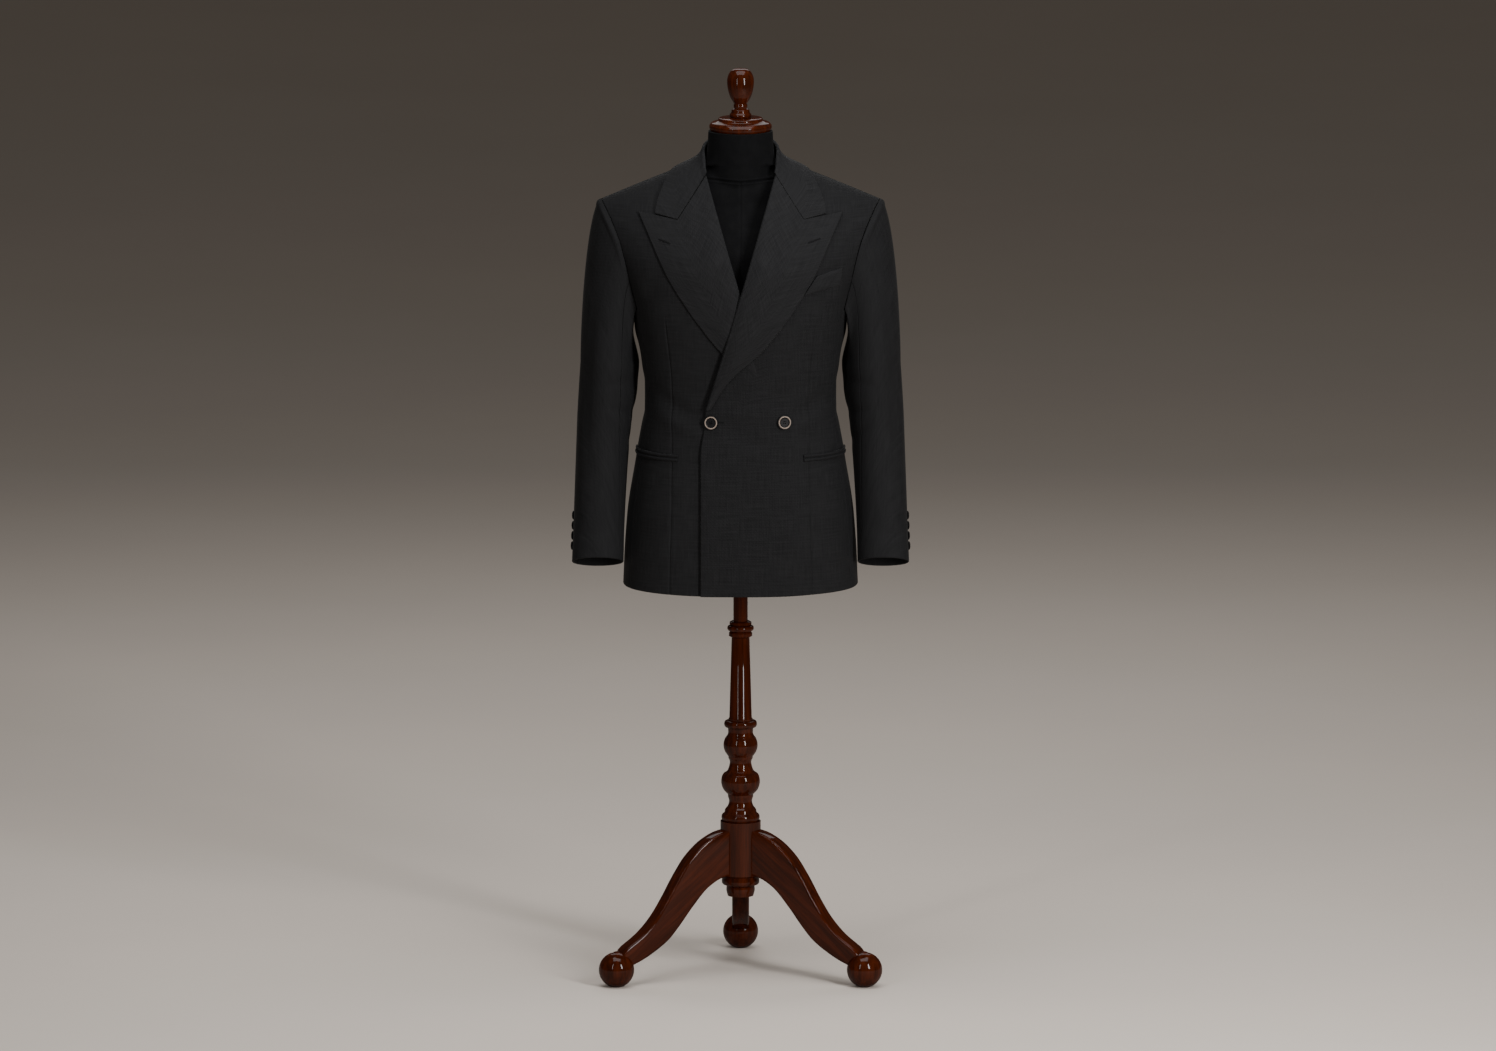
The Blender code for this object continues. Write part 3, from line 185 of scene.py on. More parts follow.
CREASES = {
    # name: u0, z0, u1, z1, bow, reach, height of a soft line of cloth from one point to the other. On the
    # front and back u is x, on the side it is y, and on a sleeve it is the column round the arm.
    "front": {
        "button_drag_in": (0.030, 1.012, -0.028, 1.001, 0.004, 0.0085, 0.0014),
        "button_drag_low": (0.058, 0.955, -0.020, 0.985, -0.006, 0.0120, -0.0016),
        "waist_left": (0.088, 1.008, 0.158, 1.048, 0.005, 0.0130, -0.0026),
        "waist_left_ridge": (0.086, 0.984, 0.160, 1.014, 0.006, 0.0140, 0.0020),
        "waist_right": (-0.064, 1.000, -0.158, 1.052, -0.006, 0.0140, -0.0030),
        "waist_right_ridge": (-0.066, 0.975, -0.160, 1.020, -0.006, 0.0150, 0.0022),
        "under_front_hollow": (-0.082, 0.700, -0.080, 0.960, 0.004, 0.0150, -0.0022),
        "skirt_right": (-0.150, 0.700, -0.128, 0.905, 0.006, 0.0280, 0.0022),
        "skirt_middle": (0.045, 0.700, 0.036, 0.930, -0.006, 0.0400, -0.0018),
        "skirt_left": (0.160, 0.700, 0.140, 0.900, -0.006, 0.0300, 0.0018),
        "chest_right": (-0.176, 1.190, -0.140, 1.300, 0.008, 0.0150, -0.0016),
        "chest_left": (0.178, 1.195, 0.146, 1.292, -0.008, 0.0150, -0.0015),
        "welt_mouth": (0.1340, 1.2565, 0.1755, 1.2672, 0.000, 0.0040, -0.0016),
        "welt_foot": (0.1095, 1.2190, 0.1745, 1.2312, 0.000, 0.0040, -0.0014),
        "collar_edge_left": (0.136, 1.407, 0.155, 1.364, 0.000, 0.0055, -0.0018),
        "collar_edge_right": (-0.136, 1.407, -0.155, 1.364, 0.000, 0.0055, -0.0018),
    },
    "back": {
        "waist_left": (0.020, 1.010, 0.130, 1.040, 0.006, 0.0130, -0.0018),
        "waist_right": (-0.026, 1.022, -0.134, 1.050, 0.007, 0.0140, -0.0016),
        "blade_left": (0.182, 1.175, 0.120, 1.290, 0.010, 0.0180, -0.0024),
        "blade_right": (-0.180, 1.180, -0.112, 1.282, -0.010, 0.0170, -0.0022),
        "skirt_left": (0.098, 0.700, 0.086, 0.930, 0.005, 0.0300, 0.0022),
        "skirt_right": (-0.104, 0.700, -0.084, 0.915, -0.005, 0.0320, 0.0020),
        "nape_left": (0.010, 1.375, 0.082, 1.392, 0.006, 0.0120, -0.0010),
        "nape_right": (-0.014, 1.368, -0.078, 1.390, 0.006, 0.0120, -0.0011),
    },
    "side": {
        "waist_low": (-0.060, 0.990, 0.050, 1.012, 0.004, 0.0120, -0.0014),
        "waist_high": (-0.050, 1.060, 0.045, 1.040, -0.005, 0.0130, -0.0013),
        "skirt": (0.004, 0.700, -0.006, 0.900, 0.004, 0.0260, 0.0018),
        "under_arm_fullness": (-0.030, 1.145, 0.030, 1.135, 0.000, 0.0220, 0.0030),
    },
    "sleeve": {
        "elbow_in_low": (6.0, 0.985, 10.5, 0.940, 0.006, 0.0090, -0.0018),
        "elbow_in_mid": (5.5, 1.015, 11.0, 1.000, 0.006, 0.0090, -0.0020),
        "elbow_in_high": (5.2, 1.050, 10.0, 1.052, -0.006, 0.0095, -0.0016),
        "arm_front_fold": (4.2, 1.230, 3.2, 0.900, 0.004, 0.0130, -0.0017),
        "arm_front_ridge": (1.8, 1.210, 1.6, 0.830, 0.004, 0.0180, 0.0012),
        "arm_outer_fold": (19.6, 1.180, 19.0, 0.960, 0.004, 0.0200, -0.0012),
        "arm_hind_fold": (15.6, 1.210, 16.2, 1.000, 0.004, 0.0170, -0.0024),
        "elbow_hind_low": (15.0, 0.960, 18.8, 0.985, 0.006, 0.0110, -0.0013),
        "elbow_hind_high": (14.6, 1.000, 18.2, 1.025, 0.006, 0.0110, -0.0015),
        "cuff_break": (1.0, 0.790, 6.5, 0.812, 0.006, 0.0130, -0.0011),
        "arm_inner_fullness": (10.0, 1.116, 10.0, 0.990, 0.000, 0.0300, 0.0060),
    },
}

# ---- sizes of the form and the stand -----------------------------------------------------------------
FORM_SEAT = CLOTH + 0.0015  # how far the form's shoulders lie below the jacket's outer side
FORM_LEVELS = (
    # z, half_width, front, back, power
    (0.745, 0.1720, 0.1050, 0.1000, 2.3),
    (0.850, 0.1720, 0.1080, 0.1040, 2.3),
    (1.020, 0.1480, 0.0990, 0.0800, 2.3),
    (1.180, 0.1660, 0.1150, 0.1000, 2.3),
    (1.260, 0.1720, 0.1120, 0.1060, 2.3),
    (1.320, 0.1760, 0.0950, 0.0960, 2.2),
    (1.362, 0.1780, 0.0780, 0.0800, 2.1),
)
FORM_SEAM_GROOVE = 1.5 * MM
FORM_RINGS = (
    0.745, 0.750, 0.850, 0.940, 1.020, 1.100, 1.180, 1.235, 1.280, 1.315,
    1.345, 1.370, 1.388, 1.402, 1.414, 1.424, 1.4322,
)
NECK_RINGS = (
    # half_width, half_depth, z
    (0.0660, 0.0555, 1.4360),
    (0.0600, 0.0560, 1.4440),
    (0.0580, 0.0570, 1.4600),
    (0.0567, 0.0567, 1.4780),
    (0.0560, 0.0560, 1.4910),
    (0.0545, 0.0545, 1.4925),
)
LEG_ANGLES = {"right": -30.0, "left": 210.0, "back": 90.0}  # degrees from +X
LEG_THICK = 0.030
LEG_SECTIONS = (
    # distance from the axis, z of the top edge, z of the bottom edge
    (0.0260, 0.2590, 0.1790),
    (0.0440, 0.2560, 0.1755),
    (0.0720, 0.2445, 0.1610),
    (0.1040, 0.2195, 0.1290),
    (0.1310, 0.1840, 0.0970),
    (0.1530, 0.1485, 0.0745),
    (0.1770, 0.1150, 0.0585),
    (0.2050, 0.0880, 0.0440),
    (0.2340, 0.0690, 0.0330),
)
LEG_TENON = (
    # the same, inside the ball foot
    (0.2385, 0.0650, 0.0320),
    (0.2430, 0.0590, 0.0325),
    (0.2465, 0.0530, 0.0335),
)
LEG_START, LEG_END, LEG_ROUND = 0.031, 0.234, 4.2 * MM
LEG_GRAIN = np.array(((0.0, 0.6, 1.0), (1.0, 0.0, 0.0), (0.0, 0.8, -0.9)))  # the timber runs down the leg
FOOT_NECK = ((2.8 * MM, 2.2 * MM), (5.0 * MM, 1.0 * MM))  # radius, and height over the ball's top ring
FOOT_REACH, FOOT_RADIUS, FOOT_FLAT = 0.250, 0.031, 0.009
ROD_PROFILE = ((0.0125, 0.7447), (0.0125, 0.5665))
COLUMN_PROFILE = (
    # radius, z: the turned post from its collar down to the hub
    (0.0160, 0.6262), (0.0190, 0.6245), (0.0192, 0.6205), (0.0175, 0.6190),
    (0.0222, 0.6170), (0.0232, 0.6138), (0.0222, 0.6105), (0.0180, 0.6080),
    (0.0204, 0.6050), (0.0204, 0.6000), (0.0156, 0.5972), (0.0196, 0.4552),
    (0.0212, 0.4530), (0.0210, 0.4505), (0.0270, 0.4490), (0.0287, 0.4440),
    (0.0270, 0.4390), (0.0222, 0.4375), (0.0222, 0.4260), (0.0272, 0.4180),
    (0.0299, 0.4083), (0.0278, 0.3960), (0.0214, 0.3862), (0.0214, 0.3835),
    (0.0192, 0.3790), (0.0200, 0.3690), (0.0235, 0.3605), (0.0305, 0.3550),
    (0.0339, 0.3440), (0.0308, 0.3290), (0.0222, 0.3190), (0.0222, 0.3155),
    (0.0202, 0.3080), (0.0225, 0.2985), (0.0272, 0.2920), (0.0285, 0.2870),
    (0.0325, 0.2830), (0.0334, 0.2775), (0.0318, 0.2723),
)
HUB_PROFILE = (
    # radius, z
    (0.0353, 0.2720), (0.0353, 0.1770), (0.0320, 0.1745), (0.0314, 0.1600),
    (0.0245, 0.1575), (0.0250, 0.1490), (0.0225, 0.1390),
)
CAP_PROFILE = (
    # radius, z: the turned disc on the neck
    (0.0330, 1.5150), (0.0380, 1.5138), (0.0392, 1.5105), (0.0425, 1.5085),
    (0.0505, 1.5060), (0.0543, 1.5015), (0.0543, 1.4970), (0.0520, 1.4930),
)
FINIAL_PROFILE = (
    # radius, z
    (0.0060, 1.6010), (0.0120, 1.6000), (0.0190, 1.5940), (0.0228, 1.5845), (0.0233, 1.5760),
    (0.0218, 1.5640), (0.0175, 1.5500), (0.0112, 1.5395), (0.0120, 1.5355),
    (0.0112, 1.5315), (0.0155, 1.5280), (0.0160, 1.5245), (0.0188, 1.5210),
    (0.0190, 1.5185), (0.0178, 1.5153),
)
BUTTON_PROFILE = (
    # share of the radius, height: a domed back, a rolled rim and a dished middle
    (0.38, 0.0026), (0.60, 0.0028), (0.69, 0.0036), (0.77, 0.0040), (0.85, 0.0038),
    (0.88, 0.0034), (0.96, 0.0033), (1.00, 0.0022), (0.86, 0.0008), (0.50, 0.0),
)


# ---- curves and fields -------------------------------------------------------------------------------
def ramp(value, start, end):
    """0 before start, 1 after end, smooth between them."""
    share = np.clip((value - start) / (end - start), 0.0, 1.0)
    return share * share * (3 - 2 * share)


def unit(vectors):
    return vectors / np.maximum(np.linalg.norm(vectors, axis=-1, keepdims=True), 1e-12)


def stack(*parts):
    """Points from their coordinates, each a number or an array."""
    return np.stack(np.broadcast_arrays(*[np.asarray(part, float) for part in parts]), -1)


def hermite(t, start, leave, end, arrive):
    """From start to end as t goes from 0 to 1, leaving and arriving at the given slopes."""
    return (
        (2 * t**3 - 3 * t**2 + 1) * start + (t**3 - 2 * t**2 + t) * leave
        + (3 * t**2 - 2 * t**3) * end + (t**3 - t**2) * arrive
    )


def through(keys, values):
    """A smooth function of the keys through the values, with no overshoot between them."""
    keys, values = np.array(keys, float), np.array(values, float)
    steps = np.diff(keys)
    slopes = np.diff(values) / steps
    tangents = np.concatenate((slopes[:1], np.zeros(len(keys) - 2), slopes[-1:]))
    for i in range(1, len(keys) - 1):
        if slopes[i - 1] * slopes[i] > 0:
            tangents[i] = 2 * slopes[i - 1] * slopes[i] / (slopes[i - 1] + slopes[i])

    def at(where):
        where = np.clip(where, keys[0], keys[-1])
        i = np.clip(np.searchsorted(keys, where) - 1, 0, len(steps) - 1)
        t = (where - keys[i]) / steps[i]
        return hermite(t, values[i], steps[i] * tangents[i], values[i + 1], steps[i] * tangents[i + 1])

    return at


def curves(rows):
    """For each column of a table after the first, a smooth function of the first."""
    keys, *columns = zip(*rows)
    return [through(keys, column) for column in columns]


def run_length(points, axis=0):
    """How far each point of a line, or of a grid's lines along an axis, is from the line's start."""
    steps = np.linalg.norm(np.diff(points, axis=axis), axis=-1)
    return np.concatenate((np.zeros_like(steps.take([0], axis)), steps.cumsum(axis)), axis)


half_width, front_depth, back_depth = curves(BODY_LEVELS)
[armhole_x] = curves(ARMHOLE)
lapel_edge_x, lapel_edge_z = curves(LAPEL_EDGE)
sleeve_station = curves(SLEEVE_STATIONS)
collar_fold = curves(COLLAR_FOLD)
collar_edge = curves(COLLAR_EDGE)
form_level = curves(FORM_LEVELS)


def ridge_z(x):
    out = np.abs(x) - NECK_X
    return NECK_Z - SHOULDER_SLOPE * out - SHOULDER_DROOP * out * np.abs(out)


def roll_depth(x, back):
    if not back:
        return ROLL_DEPTH
    return NAPE_ROLL_DEPTH + (ROLL_DEPTH - NAPE_ROLL_DEPTH) * ramp(np.abs(x), 0.0, 0.12)


def shoulder_fill(drop, depth):
    """How far a section has filled out at a drop below the shoulder ridge."""
    return np.sqrt(1 - (1 - np.clip(drop / depth, 0.0, 1.0)) ** 2)


def ring_depth(x, z, back=False):
    """Depth of the level ring over x, as if the shoulders went straight up."""
    power = BACK_POWER if back else FRONT_POWER
    depth = back_depth(z) if back else -front_depth(z)
    return depth * np.maximum(0.0, 1 - (np.abs(x) / half_width(z)) ** power) ** (1 / power)


def body_depth(x, z, back=False):
    """How far forward or back the body form reaches over x at a height."""
    fill = shoulder_fill(ridge_z(x) - z, roll_depth(x, back))
    return RIDGE_Y + (ring_depth(x, z, back) - RIDGE_Y) * fill


def body_frame(x, z, back=False):
    """Points of the body form's front or back over (x, z), and the outward normals there."""
    x, z = np.broadcast_arrays(np.asarray(x, float), np.asarray(z, float))
    step, out = 0.4 * MM, 1.0 if back else -1.0
    slope_x = (body_depth(x + step, z, back) - body_depth(x - step, z, back)) / (2 * step)
    slope_z = (body_depth(x, z + step, back) - body_depth(x, z - step, back)) / (2 * step)
    return stack(x, body_depth(x, z, back), z), unit(stack(-out * slope_x, out, -out * slope_z))


def ring_points(angle, z):
    """The body form at a level: angle is in degrees, 0 at the middle front and positive towards +X."""
    turn = np.radians(angle)
    across, ahead = np.sin(turn), np.cos(turn)
    power = np.where(ahead < 0, 2 / BACK_POWER, 2 / FRONT_POWER)
    depth = np.where(ahead < 0, back_depth(z), -front_depth(z))
    return stack(half_width(z) * np.sign(across) * np.abs(across) ** power, depth * np.abs(ahead) ** power, z)


def ring_angle(x, z):
    across = np.clip(np.abs(x) / half_width(z), 0.0, 1.0) ** (FRONT_POWER / 2)
    return np.sign(x) * np.degrees(np.arcsin(across))


def sheet_top(x, back):
    """Height of the cloth's top edge over x: the shoulder ridge, or the neckline at the back."""
    if not back:
        return ridge_z(x)
    share = np.clip(np.abs(x) / NECK_X, 0.0, 1.0)
    fill = NAPE_FILL * np.sqrt(1 - share**2)
    return ridge_z(x) - roll_depth(x, back) * (1 - np.sqrt(1 - fill**2))


def sheet_z(x, lean, back):
    return ARMPIT_Z + (sheet_top(x, back) - ARMPIT_Z) * np.cos(np.radians(lean))


def sheet_frame(x, lean):
    """One point of the form above the armpit, with its normal: lean is 90 degrees at the armpit and 0 at
    the top, positive on the front and negative on the back. Close to the ridge, where the form's own slope
    turns too fast to read, the normal is the shoulder's."""
    back = lean < 0
    point = body_frame(x, sheet_z(x, lean, back), back)[0]
    steep = max(abs(lean), RIDGE_STEEP)
    normal = body_frame(x, sheet_z(x, steep, back), back)[1]
    up = unit(stack(SHOULDER_SLOPE * np.sign(x), 0.0, 1.0))
    near = 1 - ramp(abs(lean), 0.0, RIDGE_LEAN)
    near *= ramp(abs(x), NECK_X - 0.02, NECK_X) if back else 1.0
    return point, unit(normal * (1 - near) + up * near)


def crease_lift(place, u, z, reach_u=1.0):
    """Sum of the soft creases of a place at (u, z); reach_u is the metres in one unit of u. Each widens a
    little along its way and fades out past both ends."""
    lift = np.zeros(np.broadcast(u, z).shape)
    for u0, z0, u1, z1, bow, reach, height in CREASES[place].values():
        run_u, run_z = (u1 - u0) * reach_u, z1 - z0
        length = math.hypot(run_u, run_z)
        off_u, off_z = (u - u0) * reach_u, z - z0
        along = (off_u * run_u + off_z * run_z) / length**2
        aside = (off_u * run_z - off_z * run_u) / length - bow * np.sin(np.pi * np.clip(along, 0, 1))
        spread = reach * (0.75 + 0.5 * along.clip(0, 1))
        fade = ramp(along, -0.15, 0.35) * (1 - ramp(along, 0.6, 1.15))
        lift += height * np.exp(-((aside / spread) ** 2)) * fade
    return lift


def over_lift(x, z, side):
    """How far the overlapping front stands off the body form."""
    if side < 0:
        return np.zeros(np.broadcast(x, z).shape)
    lift = OVER_LIFT + OVER_LAPEL_LIFT * ramp(z, 0.98, BREAK_Z)
    swing = np.exp(-(((x - FREE_EDGE_X) / FREE_EDGE_REACH) ** 2)) * (1 - ramp(z, *FREE_EDGE_TOP))
    return lift * (1 - ramp(z, *OVER_TOP)) * (1 - ramp(x, *OVER_SIDE)) + FREE_EDGE_SWING * swing


def front_lift(x, z, side):
    """Lift of a front panel's cloth over the body form, at x on its own side."""
    return over_lift(x, z, side) + crease_lift("front", np.multiply(x, side), z)


def on_front(x, z, side, lift):
    """Points over a front panel, and the normals there. The right front is worked out as its mirror."""
    points, normals = body_frame(x, z)
    return points + normals * (front_lift(x, z, side) + lift)[..., None], normals


# ---- making meshes -----------------------------------------------------------------------------------
EDGE_EASE = 1.7 * MM  # the row next to a piece's edge stands this far in from it
EDGE_PULL = 0.42  # share of the cloth's thickness by which both sides draw in, for the rounded edge between
LEFT_RIGHT = np.array((1.0, 0.0, 0.0))
AHEAD = np.array((0.0, -1.0, 0.0))
# bends up to these are shaded smooth
TURNED_SMOOTH, LEG_SMOOTH, FORM_SMOOTH = (math.radians(bend) for bend in (38, 40, 50))


def finish_piece(piece, name, material, replaced=()):
    """Name a piece, give it its finish, hang it from the root body and hide the CAD parts that it replaces.
    """
    piece.name = piece.data.name = name
    piece.data.materials.clear()
    for one in material if isinstance(material, (list, tuple)) else [material]:
        piece.data.materials.append(one)
    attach(piece, "root")
    if replaced:
        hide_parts(*replaced)
    return piece


def mesh_from(name, verts, faces, uv=None):
    """An object from arrays of points round the post's axis, moved to the world's place."""
    mesh = bpy.data.meshes.new(name)
    places = np.asarray(verts) + np.array((0.0, AXIS_Y, 0.0))
    mesh.from_pydata(places.tolist(), [], [face.tolist() for face in faces])
    if uv is not None:
        layer = mesh.uv_layers.new(name="cloth")
        corner = np.empty(len(mesh.loops), int)
        mesh.loops.foreach_get("vertex_index", corner)
        layer.data.foreach_set("uv", np.asarray(uv)[corner].ravel())
    mesh.shade_smooth()
    piece = bpy.data.objects.new(name, mesh)
    bpy.context.scene.collection.objects.link(piece)
    return piece


def eased(grid):
    """A grid with one more row and column just inside each edge, so that only the edge itself is round."""
    for axis in (0, 1):
        grid = np.swapaxes(grid, 0, axis)
        ends = []
        for edge, inside in ((grid[0], grid[1]), (grid[-1], grid[-2])):
            step = np.linalg.norm((inside - edge)[..., :3], axis=-1, keepdims=True)
            ends.append(edge + (inside - edge) * np.minimum(0.5, EDGE_EASE / np.maximum(step, 1e-9)))
        grid = np.concatenate((grid[:1], ends[0][None], grid[1:-1], ends[1][None], grid[-1:]))
        grid = np.swapaxes(grid, 0, axis)
    return grid


def grid_normals(grid):
    return unit(np.cross(np.gradient(grid, axis=1), np.gradient(grid, axis=0)))


def outward(grid, hint):
    """Unit normals of a grid on the side that the hint points to."""
    normals = grid_normals(grid)
    return normals if np.sum(normals * hint) >= 0 else -normals


def border(rows, columns):
    """Row and column numbers of a grid's edge, once round."""
    rim = [(i, 0) for i in range(rows)]
    rim += [(rows - 1, j) for j in range(1, columns)]
    rim += [(i, columns - 1) for i in range(rows - 2, -1, -1)]
    rim += [(0, j) for j in range(columns - 2, 0, -1)]
    return np.array(rim).T


def cloth_piece(name, outer, thickness, hint, inner=None, plumb=False, middle_seam=False):
    """A shell of cloth from the grid of its outer side, with a rounded edge all round and a UV map in
    metres along its weave. hint points out of the outer side, plumb hangs the grain straight down, and a
    middle seam keeps the first column in the jacket's middle plane."""
    own = np.sum(grid_normals(outer) * hint) >= 0
    both = eased(outer if inner is None else np.concatenate((outer, inner), axis=-1))
    outer = both[..., :3]
    normals = grid_normals(outer) * (1 if own else -1)
    if middle_seam:
        normals[:, 0, 0] = 0.0
    inner = outer - normals * thickness if inner is None else both[..., 3:]
    rows, columns = outer.shape[:2]
    inward = np.zeros_like(outer)
    inward[0] += unit(outer[1] - outer[0])
    inward[-1] += unit(outer[-2] - outer[-1])
    inward[:, 0] += unit(outer[:, 1] - outer[:, 0])
    inward[:, -1] += unit(outer[:, -2] - outer[:, -1])
    i, j = border(rows, columns)
    middle = (outer[i, j] + inner[i, j]) / 2 - unit(inward[i, j]) * SEAM_REACH
    pull = inward * EDGE_PULL * thickness
    u, v = run_length(outer, 1), run_length(outer, 0)
    longest_column = v[-1].max()
    if plumb:
        right, up = np.sign(outer[-1, -1] - outer[0, 0])[[0, 2]]
        u, v = u + right * outer[:, :1, 0], v + up * outer[:1, :, 2]
    uv = np.stack((u, v), -1)
    verts = np.concatenate(((outer + pull).reshape(-1, 3), (inner + pull).reshape(-1, 3), middle))
    uvs = np.concatenate((uv.reshape(-1, 2), uv.reshape(-1, 2), uv[i, j]))
    number = np.arange(rows * columns).reshape(rows, columns)
    skin = np.stack((number[:-1, :-1], number[:-1, 1:], number[1:, 1:], number[1:, :-1]), -1).reshape(-1, 4)
    here = number[i, j]
    after = np.roll(here, -1)
    rim = 2 * rows * columns + np.arange(len(here))
    rim_after = np.roll(rim, -1)
    sides = [
        np.stack((here, after, rim_after, rim), -1),
        np.stack((rim, rim_after, after + rows * columns, here + rows * columns), -1),
    ]
    faces = np.concatenate((skin, (skin + rows * columns)[:, ::-1], *sides))
    piece = mesh_from(name, verts, faces if own else faces[:, ::-1], uvs)
    diagonals = np.cross(outer[1:, 1:] - outer[:-1, :-1], outer[1:, :-1] - outer[:-1, 1:])
    area = np.linalg.norm(diagonals, axis=-1).sum() / 2
    piece["cut"] = [float(size) for size in (u[:, -1].max() - u[:, 0].min(), longest_column, area)]
    return piece


def sewn_cloth(node, outer, thickness, hint, wool, **cut):
    """The piece of cloth that stands for a CAD node of the jacket."""
    piece = cloth_piece(f"{node}_cloth", outer, thickness, hint, **cut)
    return finish_piece(piece, piece.name, wool, [node])


def declare_sheet(piece, width=None):
    """Work out a cloth piece's width from its own grid, or take it as given; nothing is done with the result.
    """
    widest_row, length, area = piece["cut"]
    width = max(width or widest_row, area / length)


def mirror_points(points, side):
    return points * np.array((side, 1.0, 1.0))


# ---- turned work -------------------------------------------------------------------------------------
GROOVE_BEND, SHARP_BEND = 40, 75  # degrees: a groove stays sharp from the first, any corner from the second
UNEVEN_CHORDS = 3.5  # a long taper meets a bead where one chord is this many times the other
FILLET_LENGTH, FILLET_SLOPE = 6 * MM, 0.08
CURVE_STEPS = 5


def turning(profile):
    """A profile with its beads and hollows rounded: only grooves, fillets and the ends of long tapers stay
    sharp."""
    points = np.array(profile, float)
    chords = np.diff(points, axis=0)
    lengths = np.linalg.norm(chords, axis=1)
    ways = chords / lengths[:, None]
    tangents = [(ways[0], ways[0])]
    for i in range(1, len(points) - 1):
        bend = math.degrees(math.acos(np.clip(ways[i - 1] @ ways[i], -1, 1)))
        groove = points[i, 0] <= min(points[i - 1, 0], points[i + 1, 0]) and bend > GROOVE_BEND
        uneven = max(lengths[i - 1], lengths[i]) > UNEVEN_CHORDS * min(lengths[i - 1], lengths[i])
        fillet = any(abs(ways[k][0]) < FILLET_SLOPE and lengths[k] < FILLET_LENGTH for k in (i - 1, i))
        if groove or uneven or fillet or bend > SHARP_BEND:
            tangents.append((ways[i - 1], ways[i]))
        else:
            way = unit(ways[i - 1] * lengths[i] + ways[i] * lengths[i - 1])
            tangents.append((way, way))
    tangents.append((ways[-1], ways[-1]))
    made = [points[0]]
    for i, length in enumerate(lengths):
        leave, arrive = tangents[i][1] * length, tangents[i + 1][0] * length
        steps = 1 if bend_free(leave, arrive, chords[i]) else CURVE_STEPS
        for t in np.linspace(0, 1, steps + 1)[1:]:
            made.append(hermite(t, points[i], leave, points[i + 1], arrive))
    return made


def bend_free(leave, arrive, chord):
    return np.linalg.norm(leave - chord) + np.linalg.norm(arrive - chord) < 1e-6


def turned_piece(profile, segments):
    """A solid turned on Z: a disc is added at the first ring and extruded and resized ring by ring."""
    bpy.ops.object.select_all(action="DESELECT")
    radius, z = profile[0]
    bpy.ops.mesh.primitive_circle_add(vertices=segments, radius=radius, fill_type="NGON", location=(0, 0, z))
    piece = bpy.context.object
    bpy.ops.object.mode_set(mode="EDIT")
    bpy.ops.mesh.select_all(action="SELECT")
    for (before, low), (after, high) in zip(profile, profile[1:]):
        bpy.ops.mesh.extrude_region_move(TRANSFORM_OT_translate={"value": (0, 0, high - low)})
        bpy.ops.transform.resize(value=(after / before, after / before, 1))
    bpy.ops.mesh.select_all(action="SELECT")
    bpy.ops.mesh.normals_make_consistent(inside=False)
    bpy.ops.object.mode_set(mode="OBJECT")
    bpy.ops.object.transform_apply(location=True, rotation=True, scale=True)
    bpy.ops.object.shade_smooth_by_angle(angle=TURNED_SMOOTH)
    return piece


def set_grain(piece, turn=np.eye(3)):
    """Keep each point's place in the timber, whose grain runs with Z once the point is turned."""
    mesh = piece.data
    places = np.empty(len(mesh.vertices) * 3)
    mesh.vertices.foreach_get("co", places)
    layer = mesh.attributes.new("grain", "FLOAT_VECTOR", "POINT")
    layer.data.foreach_set("vector", (places.reshape(-1, 3) @ turn).ravel())


def place_mesh(piece, matrix):
    piece.data.transform(matrix)
    piece.data.update()


# ---- the body panels ---------------------------------------------------------------------------------
ROW_STEP = 4.2 * MM
LOW_Z = np.linspace(HEM_Z, ARMPIT_Z, int((ARMPIT_Z - HEM_Z) / ROW_STEP) + 1)  # rows up to the armpit
LEANS = np.linspace(90.0, 0.0, 90)  # rows above it
FRONT_COLUMNS, OUTER_FRONT_COLUMNS, SIDE_COLUMNS, BACK_COLUMNS = 48, 26, 40, 56
DART_COLUMNS = (-1.5, -0.7, 0.0, 0.7, 1.5)  # mm from the dart
BESIDE_DART = 2.6  # mm


def hem_shift(angle, z):
    """The hem dips a little at the middle front, and the shift is gone a hand's width higher."""
    return -HEM_DIP * np.cos(np.radians(angle) / 2) ** 8 * (1 - ramp(z, HEM_Z, HEM_Z + HEM_DIP_REACH))


def roll_x(z):
    return BREAK_X + (GORGE[0] - BREAK_X) * (z - BREAK_Z) / (GORGE[1] - BREAK_Z)


def front_edge_x(z):
    """Inner edge of the overlapping front: its straight edge, then the roll line, then the neckline."""
    straight = -FRONT_EDGE_X + (BREAK_X + FRONT_EDGE_X) * ramp(z, 0.93, BREAK_Z)
    start = GORGE[0] + ROLL_SET_BACK
    neck = start + (NECK_X - start) * np.clip((z - GORGE[1]) / (NECK_Z - GORGE[1]), 0, 1)
    return np.where(z < BREAK_Z, straight, np.where(z <= GORGE[1], roll_x(z) + ROLL_SET_BACK, neck))


def dart_x(z):
    return DART_X + 0.012 * ramp(z, 1.05, 1.20) + 0.004 * (1 - ramp(z, 0.70, 0.85))


def edge_on_sheet(edge, lean, back=False):
    """Where rows of the sheet meet an edge that is given as x for each z."""
    x = edge(np.full(np.shape(lean), ARMPIT_Z))
    for _ in range(24):
        x = 0.5 * x + 0.5 * edge(sheet_z(x, lean, back))
    return x


